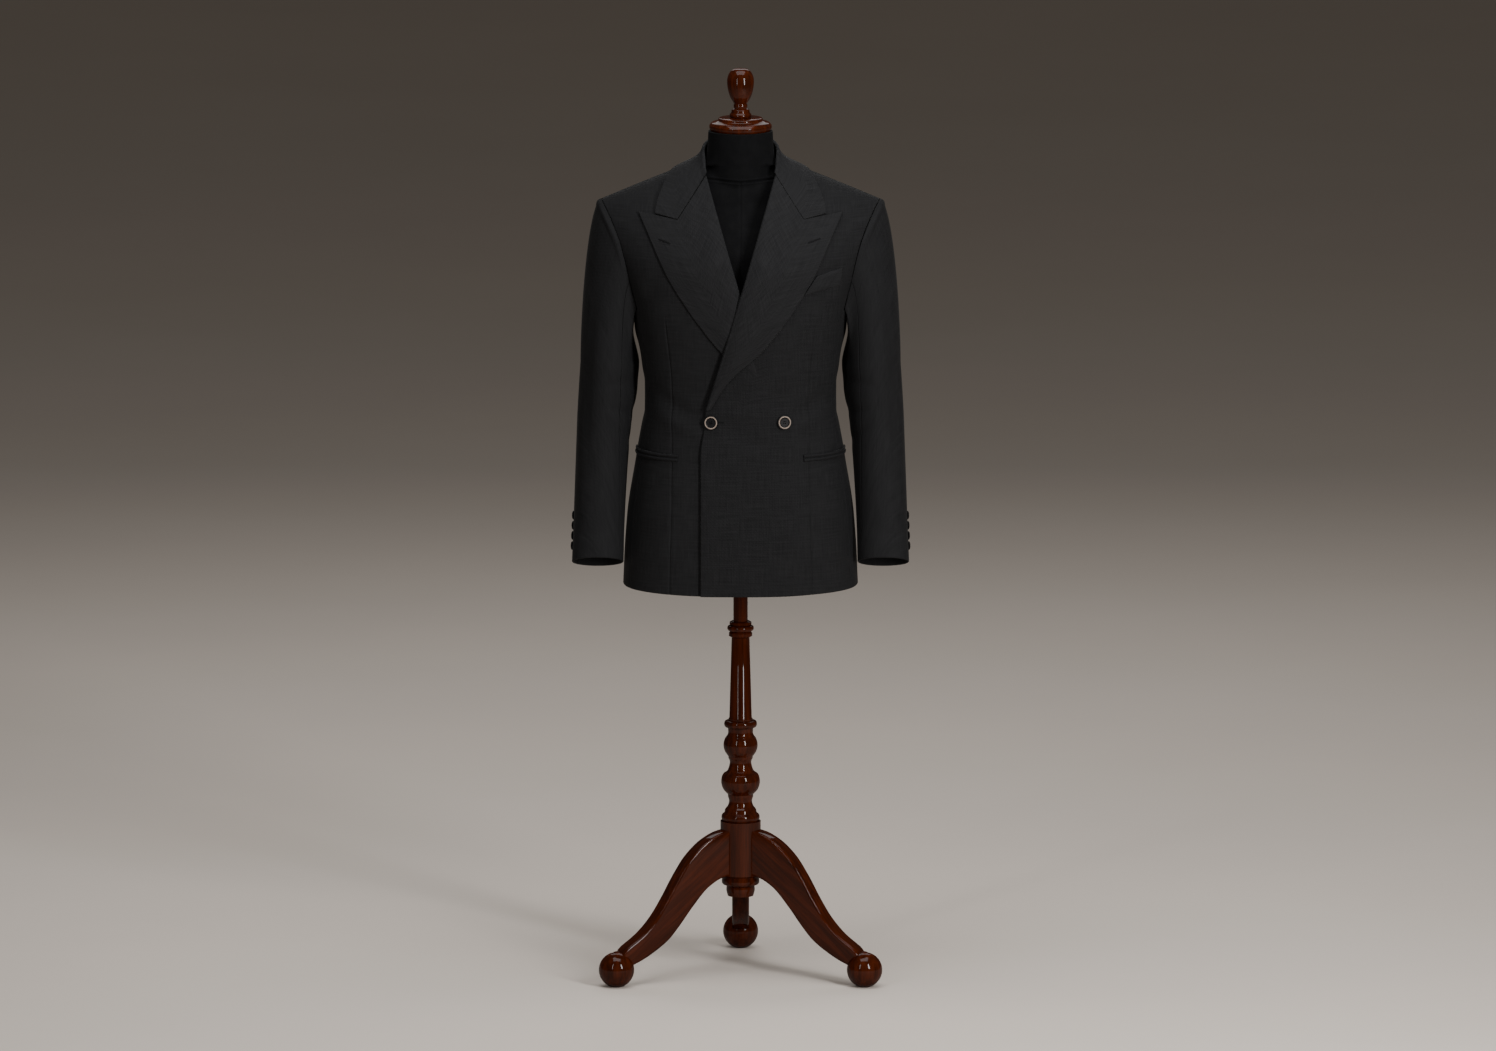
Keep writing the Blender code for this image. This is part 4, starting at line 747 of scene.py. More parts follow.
def panel_grid(low_angles, start_edge, back):
    """Points of a panel from its angles below the armpit and its edges above it."""
    low_z = LOW_Z[:, None] + hem_shift(low_angles, LOW_Z[:, None])
    low = ring_points(low_angles, low_z)
    base = low[-1, :, 0]
    shares = (base - base[0]) / (base[-1] - base[0])
    lean = LEANS[1:]
    start = start_edge(lean)
    end = edge_on_sheet(armhole_x, lean, back) - GAP
    end += (base[-1] - armhole_x(ARMPIT_Z) + GAP) * ramp(lean, 70.0, 90.0)
    x = start[:, None] + (end - start)[:, None] * shares
    z = sheet_z(x, lean[:, None], back)
    high = stack(x, body_depth(x, z, back), z)
    high[-1, :, 1] += GAP / 2 if back else -GAP / 2
    return np.concatenate((low, high))


def front_grid(side):
    edge = ring_angle(front_edge_x(LOW_Z), LOW_Z)
    dart = ring_angle(dart_x(LOW_Z), LOW_Z)
    seam = FRONT_SEAM - np.degrees(GAP / 2 / half_width(LOW_Z))
    mm = np.degrees(MM / half_width(LOW_Z))
    near, far = dart - BESIDE_DART * mm, dart + BESIDE_DART * mm
    columns = [edge + (near - edge) * share for share in np.linspace(0, 1, FRONT_COLUMNS)]
    columns += [dart + mm * off for off in DART_COLUMNS]
    columns += [far + (seam - far) * share for share in np.linspace(0, 1, OUTER_FRONT_COLUMNS)]
    grid = panel_grid(np.stack(columns, 1), lambda lean: edge_on_sheet(front_edge_x, lean), False)
    x, z = grid[..., 0], grid[..., 2]
    groove = np.exp(-(((x - dart_x(z)) / DART_WIDTH) ** 2)) * (1 - ramp(z, 1.150, 1.182))
    lift = front_lift(x, z, side) - DART_DEPTH * groove
    return grid + body_frame(x, z)[1] * lift[..., None]


def side_grid():
    gap = np.degrees(GAP / 2 / half_width(LOW_Z))[:, None]
    share = np.linspace(0, 1, SIDE_COLUMNS)
    angle = FRONT_SEAM + gap + (BACK_SEAM - FRONT_SEAM - 2 * gap) * share
    z = LOW_Z[:, None] + hem_shift(angle, LOW_Z[:, None])
    z = z - ARMPIT_SCOOP * np.sin(np.pi * share) * ramp(LOW_Z[:, None], ARMPIT_Z - 0.05, ARMPIT_Z)
    grid = ring_points(angle, z)
    normals = outward(grid, grid * LEVEL)
    return grid + normals * crease_lift("side", grid[..., 1], z)[..., None]


def back_grid(side):
    gap = np.degrees(GAP / 2 / half_width(LOW_Z))[:, None]
    angle = 180.0 + (BACK_SEAM + gap - 180.0) * np.linspace(0, 1, BACK_COLUMNS)
    grid = panel_grid(angle, lambda lean: np.full(len(lean), GAP / 2), True)
    grid[..., 0] = np.maximum(grid[..., 0], GAP / 2)
    x, z = grid[..., 0], grid[..., 2]
    hollow = np.exp(-((x / BACK_SEAM_WIDTH) ** 2)) * (1 - ramp(z, 1.28, 1.38))
    lift = crease_lift("back", x * side, z) - BACK_SEAM_HOLLOW * hollow
    normals = body_frame(x, z, True)[1]
    return grid + normals * lift[..., None]


# ---- lapels and collar -------------------------------------------------------------------------------
LAPEL_NOTCH_ACROSS = 0.56  # share of the lapel's top edge at which the notch comes
COLLAR_NOTCH_ACROSS = 0.66  # the same of the collar's end
LAPEL_TOP_COLUMNS, LAPEL_REST_COLUMNS = 24, 28  # from the peak to the notch, and from there to the roll
LAPEL_FACE_COLUMNS = 50  # columns that face forwards, before the roll turns under
LAPEL_BLOOM = 2.2 * MM  # how far the lapel's face lifts across its middle
LAPEL_BELLY, LAPEL_BELLY_REACH = 3.2 * MM, 0.017  # how far it swells beside the roll, and where it is most
STAND_COLUMNS, FOLD_COLUMNS, FALL_COLUMNS, TIP_COLUMNS = 8, 11, 18, 12  # the tip's lie past the notch
COLLAR_FALL_COLUMN = 24  # from this column on the fall faces outwards
COLLAR_FOLD_RADIUS = 0.0034
COLLAR_SWELL, COLLAR_HOLLOW = 3 * MM, 6 * MM  # the fall swells at the back and hollows at the side
FALL_LIFT = 2.2 * MM  # what the fall gains over its edge at the fold
FOOT_LIFT = GAP + 1.0 * MM
COLLAR_STAND_OFF = 0.0020
EDGE_LIFT = COLLAR_CLOTH + COLLAR_STAND_OFF
NECK_SHARE = 0.58  # share of the way from nape to gorge at which the collar's foot passes the shoulder
EDGE_STATIONS, EDGE_PASSES = 51, 40  # along the outer edge, and how often its line is evened out


def corner_line(share, notch, start, corner, end):
    """A two-part line through a corner, as x and z, less the straight line from start to end."""
    made = []
    for k in (0, 1):
        bent = np.interp(share, (0, notch, 1), (start[k], corner[k], end[k]))
        made.append(bent - (start[k] + (end[k] - start[k]) * share))
    return made


def lapel_xz(share, across):
    """Places of the lapel as x and z: share runs from peak to break, across from roll line to edge."""
    roll_z = GORGE[1] + (BREAK_Z - GORGE[1]) * share
    top_x, top_z = corner_line(across, LAPEL_NOTCH_ACROSS, GORGE, NOTCH, PEAK)
    fade = (1 - ramp(share, 0.0, 0.40)) ** 1.5
    x = roll_x(roll_z) + (lapel_edge_x(share) - roll_x(roll_z)) * across + top_x * fade
    z = roll_z + (lapel_edge_z(share) - roll_z) * across + top_z * fade
    return x, z


def lapel_lift(across, layer):
    """How high a lapel's face stands over its front: most beside the roll, least at the edge."""
    high, low = 2 * ROLL_RADIUS[layer] - CLOTH, LAPEL_STAND[layer] + LAPEL_CLOTH
    return low + (high - low) * (1 - ramp(across, 0.0, 0.8))


def lapel_face(share, across, side):
    layer = "over" if side > 0 else "under"
    x, z = lapel_xz(share, across)
    bloom = LAPEL_BLOOM * np.sin(np.pi * np.clip(across, 0, 1)) ** 1.5 * ramp(share, 0.12, 0.45)
    off_roll = across * np.abs(lapel_edge_x(share) - roll_x(z)) - ROLL_RADIUS[layer]
    off_roll = np.maximum(0.0, off_roll) / LAPEL_BELLY_REACH
    belly = LAPEL_BELLY * off_roll * np.exp(1 - off_roll)
    belly = belly * ramp(share, 0.08, 0.35) * (1 - ramp(share, 0.70, 0.95))
    return on_front(x, z, side, lapel_lift(across, layer) + bloom + belly)


def lapel_grid(side):
    """A lapel's face from its edge to the roll line, and the half turn of its roll."""
    radius = ROLL_RADIUS["over" if side > 0 else "under"]
    share = np.concatenate((np.linspace(0, 0.05, 7)[:-1], np.linspace(0.05, 1.0, 104)))[:, None]
    width = np.hypot(*[a - b for a, b in zip(lapel_xz(share, 1.0), lapel_xz(share, 0.0))])
    first = radius / width
    outer = np.linspace(1, LAPEL_NOTCH_ACROSS, LAPEL_TOP_COLUMNS)
    to_roll = np.linspace(0, 1, LAPEL_REST_COLUMNS)[1:]
    rest = LAPEL_NOTCH_ACROSS + (first - LAPEL_NOTCH_ACROSS) * to_roll
    across = np.concatenate((np.broadcast_to(outer, (len(share), len(outer))), rest), axis=1)
    face, normals = lapel_face(share, across, side)
    top, normal = face[:, -1], normals[:, -1]
    step = face[:, -5] - top
    outward = unit(step - normal * np.sum(step * normal, -1, keepdims=True))
    middle = top - normal * radius
    turns = np.radians(np.linspace(90, -90, 15))[1:, None, None]
    roll = middle + radius * (normal * np.sin(turns) - outward * np.cos(turns))
    return np.concatenate((face, np.swapaxes(roll, 0, 1)), axis=1)


def stand_foot(share):
    """Foot of the collar's stand, just over the neckline of the back and the front."""
    if share < NECK_SHARE:
        x = NECK_X * math.sin(math.pi / 2 * share / NECK_SHARE)
        return sheet_frame(x, -0.001)[0] + np.array((0, 0, FOOT_LIFT))
    z = NECK_Z + (GORGE[1] - NECK_Z) * (share - NECK_SHARE) / (1 - NECK_SHARE)
    point, normal = body_frame(front_edge_x(z) + 0.5 * MM, z)
    return point + normal * FOOT_LIFT


def laid_on_chest(free, lift):
    """Points of the collar laid on the front. Near the shoulder ridge a point moves towards the middle of
    the roll, and lower down straight back."""
    x, y, z = free.T
    reach, centre_z = RIDGE_Y - ring_depth(x, z), ridge_z(x) - ROLL_DEPTH
    turn = np.arctan2((z - centre_z) / ROLL_DEPTH, (RIDGE_Y - y) / reach)
    turn = np.minimum(turn, math.radians(88))  # short of the ridge itself, where the back begins
    rolled = stack(x, RIDGE_Y - reach * np.cos(turn), centre_z + ROLL_DEPTH * np.sin(turn))
    slope = SHOULDER_SLOPE + 2 * SHOULDER_DROOP * (np.abs(x) - NECK_X)
    out = unit(stack(np.sin(turn) / ROLL_DEPTH * slope, -np.cos(turn) / reach, np.sin(turn) / ROLL_DEPTH))
    flat, normals = body_frame(x, np.minimum(z, ridge_z(x) - 0.5 * MM))
    low = ramp(ridge_z(x) - z, 0.004, 0.035)[:, None]
    return rolled + (flat - rolled) * low + unit(out + (normals - out) * low) * lift[:, None]


def fall_edge(share):
    """The fall's outer edge at one station, lifted off the body form, and the normal there."""
    edge_x, edge_lean = (float(value(share)) for value in collar_edge)
    edge, edge_normal = sheet_frame(edge_x, edge_lean if edge_lean else -0.001)
    return edge + edge_normal * EDGE_LIFT, edge_normal


def fair_edge():
    """The outer edge at stations from nape to gorge, with its line evened out along the body form."""
    stations = np.linspace(0, 1, EDGE_STATIONS)
    line, normals = np.array([fall_edge(share) for share in stations]).swapaxes(0, 1)
    both = np.concatenate((line[:0:-1] * np.array((-1, 1, 1)), line))
    for _ in range(EDGE_PASSES):
        both[1:-1] += 0.5 * ((both[2:] + both[:-2]) / 2 - both[1:-1])
    move = (both[len(line) - 1:] - line) * (1 - ramp(stations, 0.62, 0.80))[:, None]
    return stations, line + move - normals * np.sum(move * normals, axis=1, keepdims=True)


def collar_section(share, fair):
    """The collar's visible side across one station: up the stand, over the fold and down the fall."""
    foot = stand_foot(share)
    fold = np.array([float(value(share)) for value in collar_fold])
    edge = np.array([np.interp(share, fair[0], fair[1][:, k]) for k in range(3)])
    up, down, across = unit(fold - foot), unit(edge - fold), edge - foot
    neck_side = -unit(across - up * (across @ up))
    out_side = unit(across - down * (across @ down))
    middle = fold - unit(up - down) * COLLAR_FOLD_RADIUS
    stand_top = middle + neck_side * COLLAR_FOLD_RADIUS
    stand = foot + (stand_top - foot) * np.linspace(0, 1, STAND_COLUMNS + 1)[:-1, None]
    turn = math.acos(np.clip(neck_side @ out_side, -1.0, 1.0)) * np.linspace(0, 1, FOLD_COLUMNS)[:, None]
    fold_over = middle + COLLAR_FOLD_RADIUS * (neck_side * np.cos(turn) + up * np.sin(turn))
    step = np.concatenate((
        np.linspace(0, COLLAR_NOTCH_ACROSS, FALL_COLUMNS + 1)[1:],
        np.linspace(COLLAR_NOTCH_ACROSS, 1, TIP_COLUMNS + 1)[1:],
    ))
    fall_top = fold_over[-1]
    free = fall_top + (edge - fall_top) * step[:, None]
    belly = COLLAR_SWELL - (COLLAR_SWELL + COLLAR_HOLLOW) * float(ramp(share, 0.1, 0.45))
    belly = belly * step * (1 - step) ** 2 * 27 / 4  # full a third of the way down
    free = free + out_side * belly[:, None]
    dip_x, dip_z = corner_line(step, COLLAR_NOTCH_ACROSS, GORGE, NOTCH, COLLAR_CORNER)
    dip = float(ramp(share, 0.80, 1.0)) ** 2
    dipped = stack(free[:, 0] + dip_x * dip, free[:, 1], free[:, 2] + dip_z * dip)
    free_lift = EDGE_LIFT + FALL_LIFT * (1 - step)
    laid = laid_on_chest(dipped, free_lift)
    # near its end the fall runs out on the gorge seam, level with the lapel, and is free past the notch
    past_notch = ramp(step, COLLAR_NOTCH_ACROSS, COLLAR_NOTCH_ACROSS + 0.1)
    sewn_lift = lapel_lift(step * LAPEL_NOTCH_ACROSS / COLLAR_NOTCH_ACROSS, "over")
    seam_x = GORGE[0] + (COLLAR_CORNER[0] - GORGE[0]) * step + dip_x
    seam_z = GORGE[1] + (COLLAR_CORNER[1] - GORGE[1]) * step + dip_z
    point, normal = body_frame(seam_x, seam_z + SEAM_REACH)
    seam = point + normal * (sewn_lift + (free_lift - sewn_lift) * past_notch)[:, None]
    laid = laid + (seam - laid) * float(ramp(share, 0.93, 1.0))
    on_chest = float(ramp(share, 0.62, 0.85))
    fall = free * (1 - on_chest) + laid * on_chest
    return np.concatenate((stand, fold_over, fall))


def collar_grid():
    shares = np.concatenate((np.linspace(0, 0.9, 66)[:-1], np.linspace(0.9, 1.0, 14)))
    fair = fair_edge()
    half = np.stack([collar_section(share, fair) for share in shares])
    return np.concatenate((mirror_points(half[:0:-1], -1), half))


# ---- sleeves -----------------------------------------------------------------------------------------
ARM_COLUMNS = 20  # a sleeve's places round the arm are counted in twentieths from the shoulder, forwards
FOREARM_SEAM, HIND_SEAM = 7, 17
HEAD_ROWS = 61  # rows of a sleeve's grid above the armpit
SLEEVE_TWIST = 22.0
SLEEVE_TOP_Z, CUFF_Z = 1.085, 0.7385
SLEEVE_ROWS, COLUMN_SHARE = 84, 5.6  # rows from there to the cuff, and grid columns to a twentieth
ARM_X = 0.235  # the middle of the arm
SLEEVE_CENTRE = 0.045  # how far inside its ring at turn 0 a sleeve's middle is
ROPE_HEIGHT, ROPE_PLACE, ROPE_WIDTH = 2.3 * MM, 9 * MM, 6 * MM  # the full ridge beside the armhole seam
COLUMN_WIDTH = 0.018  # metres to a twentieth, for the creases
LOOP_LEANS = (0.0, 5.0, 12.0, 23.0, 35.0, 48.0, 62.0, 76.0, 90.0)
lean_at = through(range(len(LOOP_LEANS)), LOOP_LEANS)


def armhole_loop(column):
    """The sleeve's end of the armhole at columns 0 to 20: front, under the arm and up the back."""
    points = np.empty((len(column), 3))
    for back in (False, True):
        here = column >= 12 if back else column <= 8
        lean = lean_at(ARM_COLUMNS - column[here] if back else column[here])
        x = edge_on_sheet(armhole_x, lean, back)
        corner = ring_points(BACK_SEAM if back else FRONT_SEAM, ARMPIT_Z)[0] + GAP
        x = x + (corner - armhole_x(ARMPIT_Z)) * ramp(lean, 62.0, 90.0)
        z = sheet_z(x, lean, back)
        points[here] = stack(x, body_depth(x, z, back), z)
    under = (column > 8) & (column < 12)
    share = (column[under] - 8) / 4
    z = ARMPIT_Z - ARMPIT_SCOOP * np.sin(np.pi * share)
    points[under] = ring_points(FRONT_SEAM + (BACK_SEAM - FRONT_SEAM) * share, z) + np.array((GAP, 0, 0))
    return points


def sleeve_ring(z, turn):
    """Points round the sleeve's tilted section at a level: turn is 0 at the outside and grows forwards."""
    x, y, width, depth, tilt = (value(z) for value in sleeve_station)
    fall = -depth * np.sin(turn)
    tilt = np.radians(tilt)
    return stack(x + width * np.cos(turn), y + fall * np.cos(tilt), z - fall * np.sin(tilt))


def sleeve_grid(first, last):
    """Points of a sleeve between two of its seams, from the armhole to the cuff."""
    twentieths = np.arange(ARM_COLUMNS + 1.0)
    loop = armhole_loop(twentieths % ARM_COLUMNS)
    lengths = run_length(loop)
    by_length = through(twentieths, math.tau * lengths / lengths[-1])
    column = np.linspace(first, last, int((last - first) * COLUMN_SHARE) + 1)
    around, turns_done = column % ARM_COLUMNS, column // ARM_COLUMNS
    even = math.tau * column / ARM_COLUMNS
    mix = 0.5 * even + 0.5 * (by_length(around) + math.tau * turns_done)
    start = armhole_loop(around)
    end = sleeve_ring(SLEEVE_TOP_Z, mix)
    reach = np.linalg.norm(end - start, axis=1)[:, None]
    high = (start[:, 2:] - loop[:, 2].min()) / np.ptp(loop[:, 2])
    # the sleeve leaves the armhole outwards, and the lower the more downwards, and arrives hanging
    leave = reach * np.concatenate((np.full_like(high, 0.24), np.zeros_like(high), -0.42 + 0.35 * high), 1)
    arrive = reach * np.array((0.0, -0.03, -1.0))
    t = (np.linspace(0, 1, HEAD_ROWS + 1)[:-1] ** 1.15)[:, None, None]  # rows lie closer at the seam
    head = hermite(t, start, leave, end, arrive)
    z = np.linspace(SLEEVE_TOP_Z, CUFF_Z, SLEEVE_ROWS)[:, None]
    share = ramp(z, SLEEVE_TOP_Z, CUFF_Z)
    turn = mix + (even - mix) * share + math.radians(SLEEVE_TWIST) * share
    grid = np.concatenate((head, sleeve_ring(z, turn)))
    middle = sleeve_ring(grid[:, :, 2].clip(CUFF_Z, SLEEVE_TOP_Z), 0.0) - SLEEVE_CENTRE * LEFT_RIGHT
    normals = outward(grid, grid - middle)
    from_seam = run_length(grid)
    rope = np.exp(-(((from_seam - ROPE_PLACE) / ROPE_WIDTH) ** 2)) * ramp(start[:, 2], 1.24, 1.34)
    creases = crease_lift("sleeve", around, grid[..., 2], COLUMN_WIDTH) * ramp(from_seam, 0.0, 0.03)
    lift = creases + ROPE_HEIGHT * rope
    return grid + normals * lift[..., None]


def draw_in(grid, distance):
    """Move a piece's two long edges in a little, to part it from its neighbour."""
    for edge, inside in ((0, 1), (-1, -2)):
        grid[:, edge] += unit(grid[:, inside] - grid[:, edge]) * distance
    return grid


def cuff_button_frame(z):
    """Point and normal on the top sleeve at height z, beside the hind-arm seam."""
    grid = sleeve_grid(CUFF_BUTTON_COLUMN - 0.4, CUFF_BUTTON_COLUMN + 0.4)
    column = grid.shape[1] // 2
    row = np.argmin(np.abs(grid[:, column, 2] - z))
    normals = outward(grid, grid - np.array((0.2, 0.0, 0.0)))
    line = grid[:, column]
    order = np.argsort(line[:, 2])
    point = np.array([np.interp(z, line[order, 2], line[order, k]) for k in range(3)])
    return point, normals[row, column]


# ---- pockets -----------------------------------------------------------------------------------------
WELT_INNER = np.array(((0.1095, 1.2215), (0.1330, 1.2540)))  # x, z: foot and top beside the lapel's edge
WELT_OUTER = np.array(((0.1740, 1.2335), (0.1755, 1.2645)))  # the same at its other end
LIP_MIDDLE, LIP_HALF, LIP_POWER = 0.54, 0.46, 2.6  # of a jetting, in shares of the pair's half height
JET_LEAST, JET_SWELL = 0.2, 1.7  # a jetting's stand at its edges and what its lip gains, in cloths


def welt_grid():
    up, along = np.linspace(0, 1, 12)[:, None, None], np.linspace(0, 1, 24)[None, :, None]
    inner, outer = (foot + (top - foot) * up for foot, top in (WELT_INNER, WELT_OUTER))
    place = inner + (outer - inner) * along
    return on_front(place[..., 0], place[..., 1], 1, 3 * GAP + WELT_CLOTH)[0]


def jet_grids(side):
    """Outer and inner sides of a hip pocket's two jettings, a pair of piped lips with the mouth between."""
    angle = ring_angle(POCKET_START_X, POCKET_Z)
    sweep = angle + np.linspace(0, 60, 600)
    path = ring_points(sweep, POCKET_Z)
    angles = np.interp(np.linspace(0, POCKET_LENGTH, 60), run_length(path), sweep)
    rise = np.linspace(-1, 1, 33)[:, None]
    lip = np.clip(1 - np.abs((np.abs(rise) - LIP_MIDDLE) / LIP_HALF) ** LIP_POWER, 0.0, 1.0)
    z = POCKET_Z + rise * JET_HEIGHT
    points = ring_points(angles, z)
    normals = outward(points, points * LEVEL)
    x = points[..., 0]
    lift = front_lift(x, np.broadcast_to(z, x.shape), side) + 2 * GAP
    inner = points + normals * lift[..., None]
    return inner + normals * (WELT_CLOTH * (JET_LEAST + JET_SWELL * lip))[..., None], inner


# ---- buttonholes -------------------------------------------------------------------------------------
BUTTONHOLE_HALF, STITCH_RISE, STITCH_SINK = 1.3 * MM, 0.5 * MM, 0.3 * MM
LAPEL_STITCH = LAPEL_CLOTH + 0.7 * MM
BUTTONHOLES = (
    # name, side, x and z of each end, lift over the front
    ("lapel_buttonhole_left", 1, 0.1155, 1.3095, 0.1375, 1.3165, LAPEL_STAND["over"] + LAPEL_STITCH),
    ("lapel_buttonhole_right", -1, 0.1205, 1.3085, 0.1405, 1.3150, LAPEL_STAND["under"] + LAPEL_STITCH),
    ("front_buttonhole", 1, -0.0380, 0.9968, -0.0290, 0.9970, 0.15 * MM),
)


# ---- the dress form ----------------------------------------------------------------------------------
FORM_COLUMNS, BESIDE_SEAM = 160, np.radians((0.17, 0.37, 0.80, 1.40))
FORM_STEP, NECK_STEP = 3.5 * MM, 1.2 * MM  # spacing of rows
NECK_ROWS = (1.385, 1.470)  # levels between which they are finer
FORM_FOOT = 0.985  # share by which the lowest ring is drawn in, for a rounded foot
NECK_SEAM_Z, NECK_SEAM_RISE, NECK_SEAM_WIDTH = 1.4090, 0.05, 1.6 * MM
MIDDLE_SEAM_WIDTH = 1.4 * MM
NECK_PASSES = 60


def form_grid():
    """Rings of the form from base to neck, each closed, with the neck and middle front seams as grooves."""
    even = math.tau * np.arange(FORM_COLUMNS) / FORM_COLUMNS
    turn = np.sort(np.concatenate((even, BESIDE_SEAM, math.tau - BESIDE_SEAM)))
    rings = []
    for z in FORM_RINGS:
        width, front, back, power = (float(value(z)) for value in form_level)
        drop = NECK_Z - FORM_SEAT - z
        root = math.sqrt(SHOULDER_SLOPE**2 + 4 * SHOULDER_DROOP * max(0.0, drop))
        reach = min(width, NECK_X + (root - SHOULDER_SLOPE) / (2 * SHOULDER_DROOP))
        x = reach * np.sign(np.sin(turn)) * np.abs(np.sin(turn)) ** (2 / power)
        ahead = np.cos(turn) >= 0
        y = np.where(ahead, -front, back) * np.maximum(0.0, 1 - (np.abs(x) / width) ** power) ** (1 / power)
        if z > ARMPIT_Z:
            fall = ridge_z(x) - FORM_SEAT - z
            fill = np.where(ahead, shoulder_fill(fall, ROLL_DEPTH), shoulder_fill(fall, roll_depth(x, True)))
            y = RIDGE_Y + (y - RIDGE_Y) * fill
        size = FORM_FOOT if z == FORM_RINGS[0] else 1.0
        rings.append(stack(x * size, y * size, z))
    for width, depth, z in NECK_RINGS:
        rings.append(stack(width * np.sin(turn), -depth * np.cos(turn), z))
    rings = np.array(rings)
    key = run_length(rings).mean(axis=1)
    steps = [NECK_STEP if NECK_ROWS[0] <= ring[0, 2] <= NECK_ROWS[1] else FORM_STEP for ring in rings]
    fine = np.unique(np.concatenate([
        np.linspace(a, b, 2 + int((b - a) / step)) for a, b, step in zip(key, key[1:], steps)
    ]))
    grid = np.stack([
        np.stack([through(key, rings[:, j, k])(fine) for j in range(len(turn))], 1)
        for k in range(3)
    ], -1)
    x, z = grid[..., 0], grid[..., 2]
    neck_width, neck_depth = NECK_RINGS[2][:2]
    ahead = grid[..., 1] < 0
    # the chest runs straight down from the front of the neck, and the corner between them is eased
    under_neck = -neck_depth * np.sqrt(np.clip(1 - (x / neck_width) ** 2, 0.0, 1.0)) * ramp(z, 1.390, 1.400)
    grid[..., 1] = np.where(ahead, np.minimum(grid[..., 1], under_neck), grid[..., 1])
    soften = ahead * (1 - ramp(np.abs(x), 0.046, 0.062))
    soften = (soften * ramp(z, 1.395, 1.42) * (1 - ramp(z, 1.455, 1.475)))[..., None]
    for _ in range(NECK_PASSES):
        grid[1:-1] += 0.5 * soften[1:-1] * ((grid[2:] + grid[:-2]) / 2 - grid[1:-1])
    normals = outward(grid, grid * LEVEL)
    neck_seam = NECK_SEAM_Z + NECK_SEAM_RISE * np.abs(x)
    off_seam = (z - neck_seam) / NECK_SEAM_WIDTH
    groove = np.exp(-(off_seam**2)) - 0.5 * np.exp(-((np.abs(off_seam) - 2.2) ** 2))  # with a welted edge
    middle = np.exp(-((x / MIDDLE_SEAM_WIDTH) ** 2)) * (z < neck_seam)
    depth = FORM_SEAM_GROOVE * (groove + 0.8 * middle) * ramp(-grid[..., 1], 0.0, 0.02)
    return grid - normals * depth[..., None]


# ---- materials ---------------------------------------------------------------------------------------
def linear(value):
    """sRGB hex to linear RGBA."""
    parts = [int(value[i:i + 2], 16) / 255 for i in (1, 3, 5)]
    return tuple(p / 12.92 if p <= 0.04045 else ((p + 0.055) / 1.055) ** 2.4 for p in parts) + (1.0,)


def shade(colour, share):
    """A colour made darker or lighter by a share."""
    return (*(part * share for part in colour[:3]), 1.0)


def add_node(material, kind, settings=(), inputs=(), stops=()):
    """Add a node with its settings, set or link its inputs, and place a colour ramp's stops. A socket is
    linked and a value is set."""
    node = material.node_tree.nodes.new(kind)
    for name, value in dict(settings).items():
        setattr(node, name, value)
    for name, value in dict(inputs).items():
        if isinstance(value, bpy.types.NodeSocket):
            material.node_tree.links.new(value, node.inputs[name])
        else:
            node.inputs[name].default_value = value
    for number, (place, colour) in enumerate(stops):
        elements = node.color_ramp.elements
        element = elements[number] if number < len(elements) else elements.new(place)
        element.position, element.color = place, colour
    return node


def new_material(name):
    material = bpy.data.materials.new(name)
    material.use_nodes = True
    material.node_tree.nodes.clear()
    return material


def finish_material(material, shader):
    add_node(material, "ShaderNodeOutputMaterial", inputs={"Surface": shader.outputs["BSDF"]})
    return material


def stretched_noise(material, vector, scale, detail, size=1.0):
    """Noise whose grain is given as repeats per metre along each axis of the vector."""
    mapping = add_node(material, "ShaderNodeMapping", inputs={"Vector": vector, "Scale": scale})
    noise = add_node(material, "ShaderNodeTexNoise", inputs={
        "Vector": mapping.outputs["Vector"], "Scale": size, "Detail": detail, "Roughness": 0.6,
    })
    return noise.outputs["Fac"]


